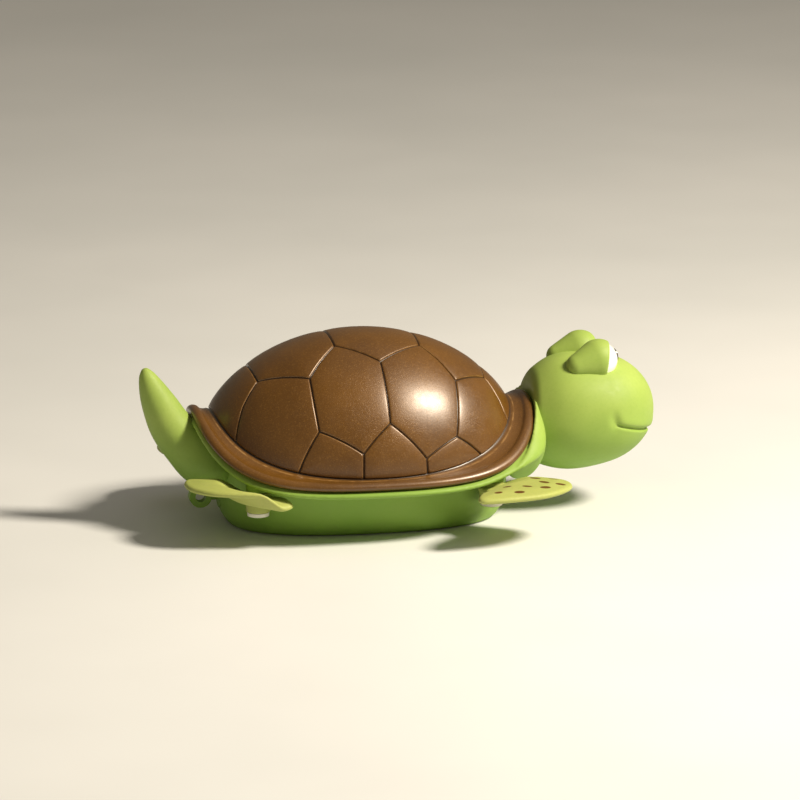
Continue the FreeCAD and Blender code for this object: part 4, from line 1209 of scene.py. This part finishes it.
SCALE_TICK_STEP = 1.4
SCALE_TICKS = 41
SCALE_MIDDLE = (SCALE_TICKS - 1) / 2
# Ticks: how often a kind comes, its length and its half width. The first kind that fits is used.
TICK_KINDS = [(10, 2.6, 0.17), (5, 1.9, 0.11), (1, 1.2, 0.11)]
TICK_INSET = 3.4
INK_DROP = 0.04
INK_THICKNESS = 0.06
NUMBER_SPACING = 10
NUMBER_SIZE = 3.0
NUMBER_OFFSET = 8.2


def make_scale():
    """Printed ticks and plain numbers under the scale plate, beside the glass tube."""
    low, _ = node_box("scale_plate")
    level = low[2] - INK_DROP
    vertices = []
    faces = []

    def bar(x0, x1, y0, y1):
        start = len(vertices)
        for z in (level, level + INK_THICKNESS):
            for x, y in ((x0, y0), (x1, y0), (x1, y1), (x0, y1)):
                vertices.append((x, y, z))
        faces.append([start + i for i in (3, 2, 1, 0)])
        faces.append([start + i for i in (4, 5, 6, 7)])
        for i in range(4):
            j = (i + 1) % 4
            faces.append([start + i, start + j, start + j + 4, start + i + 4])

    for tick in range(SCALE_TICKS):
        x = (tick - SCALE_MIDDLE) * SCALE_TICK_STEP
        length, half_width = next(kind[1:] for kind in TICK_KINDS if tick % kind[0] == 0)
        for side in (-1, 1):
            inner, outer = sorted((side * TICK_INSET, side * (TICK_INSET + length)))
            bar(x - half_width, x + half_width, inner, outer)
    make_piece("scale_ticks", vertices, faces, "scale_ink", "float")
    for tick in range(0, SCALE_TICKS, NUMBER_SPACING):
        curve = bpy.data.curves.new(f"scale_number_{tick}", "FONT")
        curve.body = str(tick)
        curve.size = NUMBER_SIZE * MM
        curve.align_x = "CENTER"
        curve.align_y = "CENTER"
        curve.extrude = INK_THICKNESS / 2 * MM
        number = bpy.data.objects.new(f"scale_number_{tick}", curve)
        bpy.context.scene.collection.objects.link(number)
        number.location = Vector(((tick - SCALE_MIDDLE) * SCALE_TICK_STEP, NUMBER_OFFSET, level)) * MM
        number.rotation_euler = (math.pi, 0, 0)
        number.data.materials.append(materials["scale_ink"])
        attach(number, "float")


CAD_FINISHES = {
    "shell_gasket": "gasket_foam",
    "hull": "skin_plastic",
    "shell_screws": "screw_steel",
    "screw_caps": "seal_rubber",
    "ballast_weights": "ballast_steel",
    "ballast_screws": "screw_steel",
    "drain_plug": "clip_plastic",
    "drain_seal": "seal_rubber",
    "neck_seal": "seal_rubber",
    "neck_retainer": "clip_plastic",
    "pupil_right": "pupil_black",
    "pupil_left": "pupil_black",
    "tether_eye": "skin_plastic",
    "flipper_washers": "clip_plastic",
    "scale_plate": "scale_white",
    "glass_tube": "tube_glass",
    "spirit_column": "spirit_red",
    "tube_saddles": "clip_plastic",
    "scale_screws": "screw_steel",
    "cover_hinge_pin": "screw_steel",
    "thermometer_cover": "cover_clear",
}


def finish_cad_nodes():
    for node, material in CAD_FINISHES.items():
        piece = frame["nodes"][node]
        piece.data.materials.clear()
        piece.data.materials.append(materials[material])


# ---------------------------------------------------------------- studio

CAMERA_AZIMUTH = -12
CAMERA_ELEVATION = 13
CAMERA_DISTANCE = 2.3
CAMERA_LENS = 249.5
CAMERA_SENSOR = 36
CAMERA_CLIP_START = 0.01
CAMERA_TARGET = Vector((17.0, 0, 47.6)) * MM
# Lamps: name, direction from the target, distance and size in metres, watts and tint.
LAMPS = [
    ("key", (0.608, -0.392, 0.691), 1.3, 0.3, 31, "fff2dc"),
    ("fill", (-0.9, -1.1, 0.9), 1.6, 1.6, 0.45, "fff2e0"),
    ("top", (0.3, 0.1, 1), 1.6, 1.8, 1.3, "ffffff"),
]
WORLD_TINT = "f6e8cf"
WORLD_STRENGTH = 0.2
# The studio floor, in metres.
FLOOR_HALF_SIZE = 4.0
FLOOR_LEVEL = -0.0005


def aim(thing, direction, distance):
    """Puts a lamp or camera out along a direction from the target, looking back at it."""
    thing.location = CAMERA_TARGET + direction.normalized() * distance
    thing.rotation_euler = direction.to_track_quat("Z", "Y").to_euler()


def make_camera():
    azimuth = math.radians(CAMERA_AZIMUTH)
    elevation = math.radians(CAMERA_ELEVATION)
    level = math.cos(elevation)
    back = Vector((math.sin(azimuth) * level, -math.cos(azimuth) * level, math.sin(elevation)))
    data = bpy.data.cameras.new("camera")
    data.lens = CAMERA_LENS
    data.sensor_width = CAMERA_SENSOR
    data.clip_start = CAMERA_CLIP_START
    camera = bpy.data.objects.new("camera", data)
    bpy.context.scene.collection.objects.link(camera)
    aim(camera, back, CAMERA_DISTANCE)
    bpy.context.scene.camera = camera


def make_lamp(name, direction, distance, size, watts, tint):
    data = bpy.data.lights.new(name, "AREA")
    data.shape = "DISK"
    data.size = size
    data.energy = watts
    data.color = colour(tint)[:3]
    lamp = bpy.data.objects.new(name, data)
    bpy.context.scene.collection.objects.link(lamp)
    aim(lamp, Vector(direction), distance)


def make_studio():
    floor_mesh = bpy.data.meshes.new("studio_floor")
    half = FLOOR_HALF_SIZE
    corners = [(-half, -half, 0), (half, -half, 0), (half, half, 0), (-half, half, 0)]
    floor_mesh.from_pydata(corners, [], [(0, 1, 2, 3)])
    floor = bpy.data.objects.new("studio_floor", floor_mesh)
    floor.location.z = FLOOR_LEVEL
    bpy.context.scene.collection.objects.link(floor)
    floor.data.materials.append(floor_material())
    for lamp in LAMPS:
        make_lamp(*lamp)
    world = bpy.data.worlds.new("studio")
    world.use_nodes = True
    background = world.node_tree.nodes["Background"]
    background.inputs["Color"].default_value = colour(WORLD_TINT)
    background.inputs["Strength"].default_value = WORLD_STRENGTH
    bpy.context.scene.world = world
    bpy.context.scene.view_settings.view_transform = "Standard"


make_camera()
make_studio()
make_carapace()
make_head()
make_eyes()
make_tail()
make_collar()
for side in (-1, 1):
    make_flipper("front", side, FRONT_BLADE)
    make_flipper("rear", side, REAR_BLADE)
make_scale()
finish_cad_nodes()
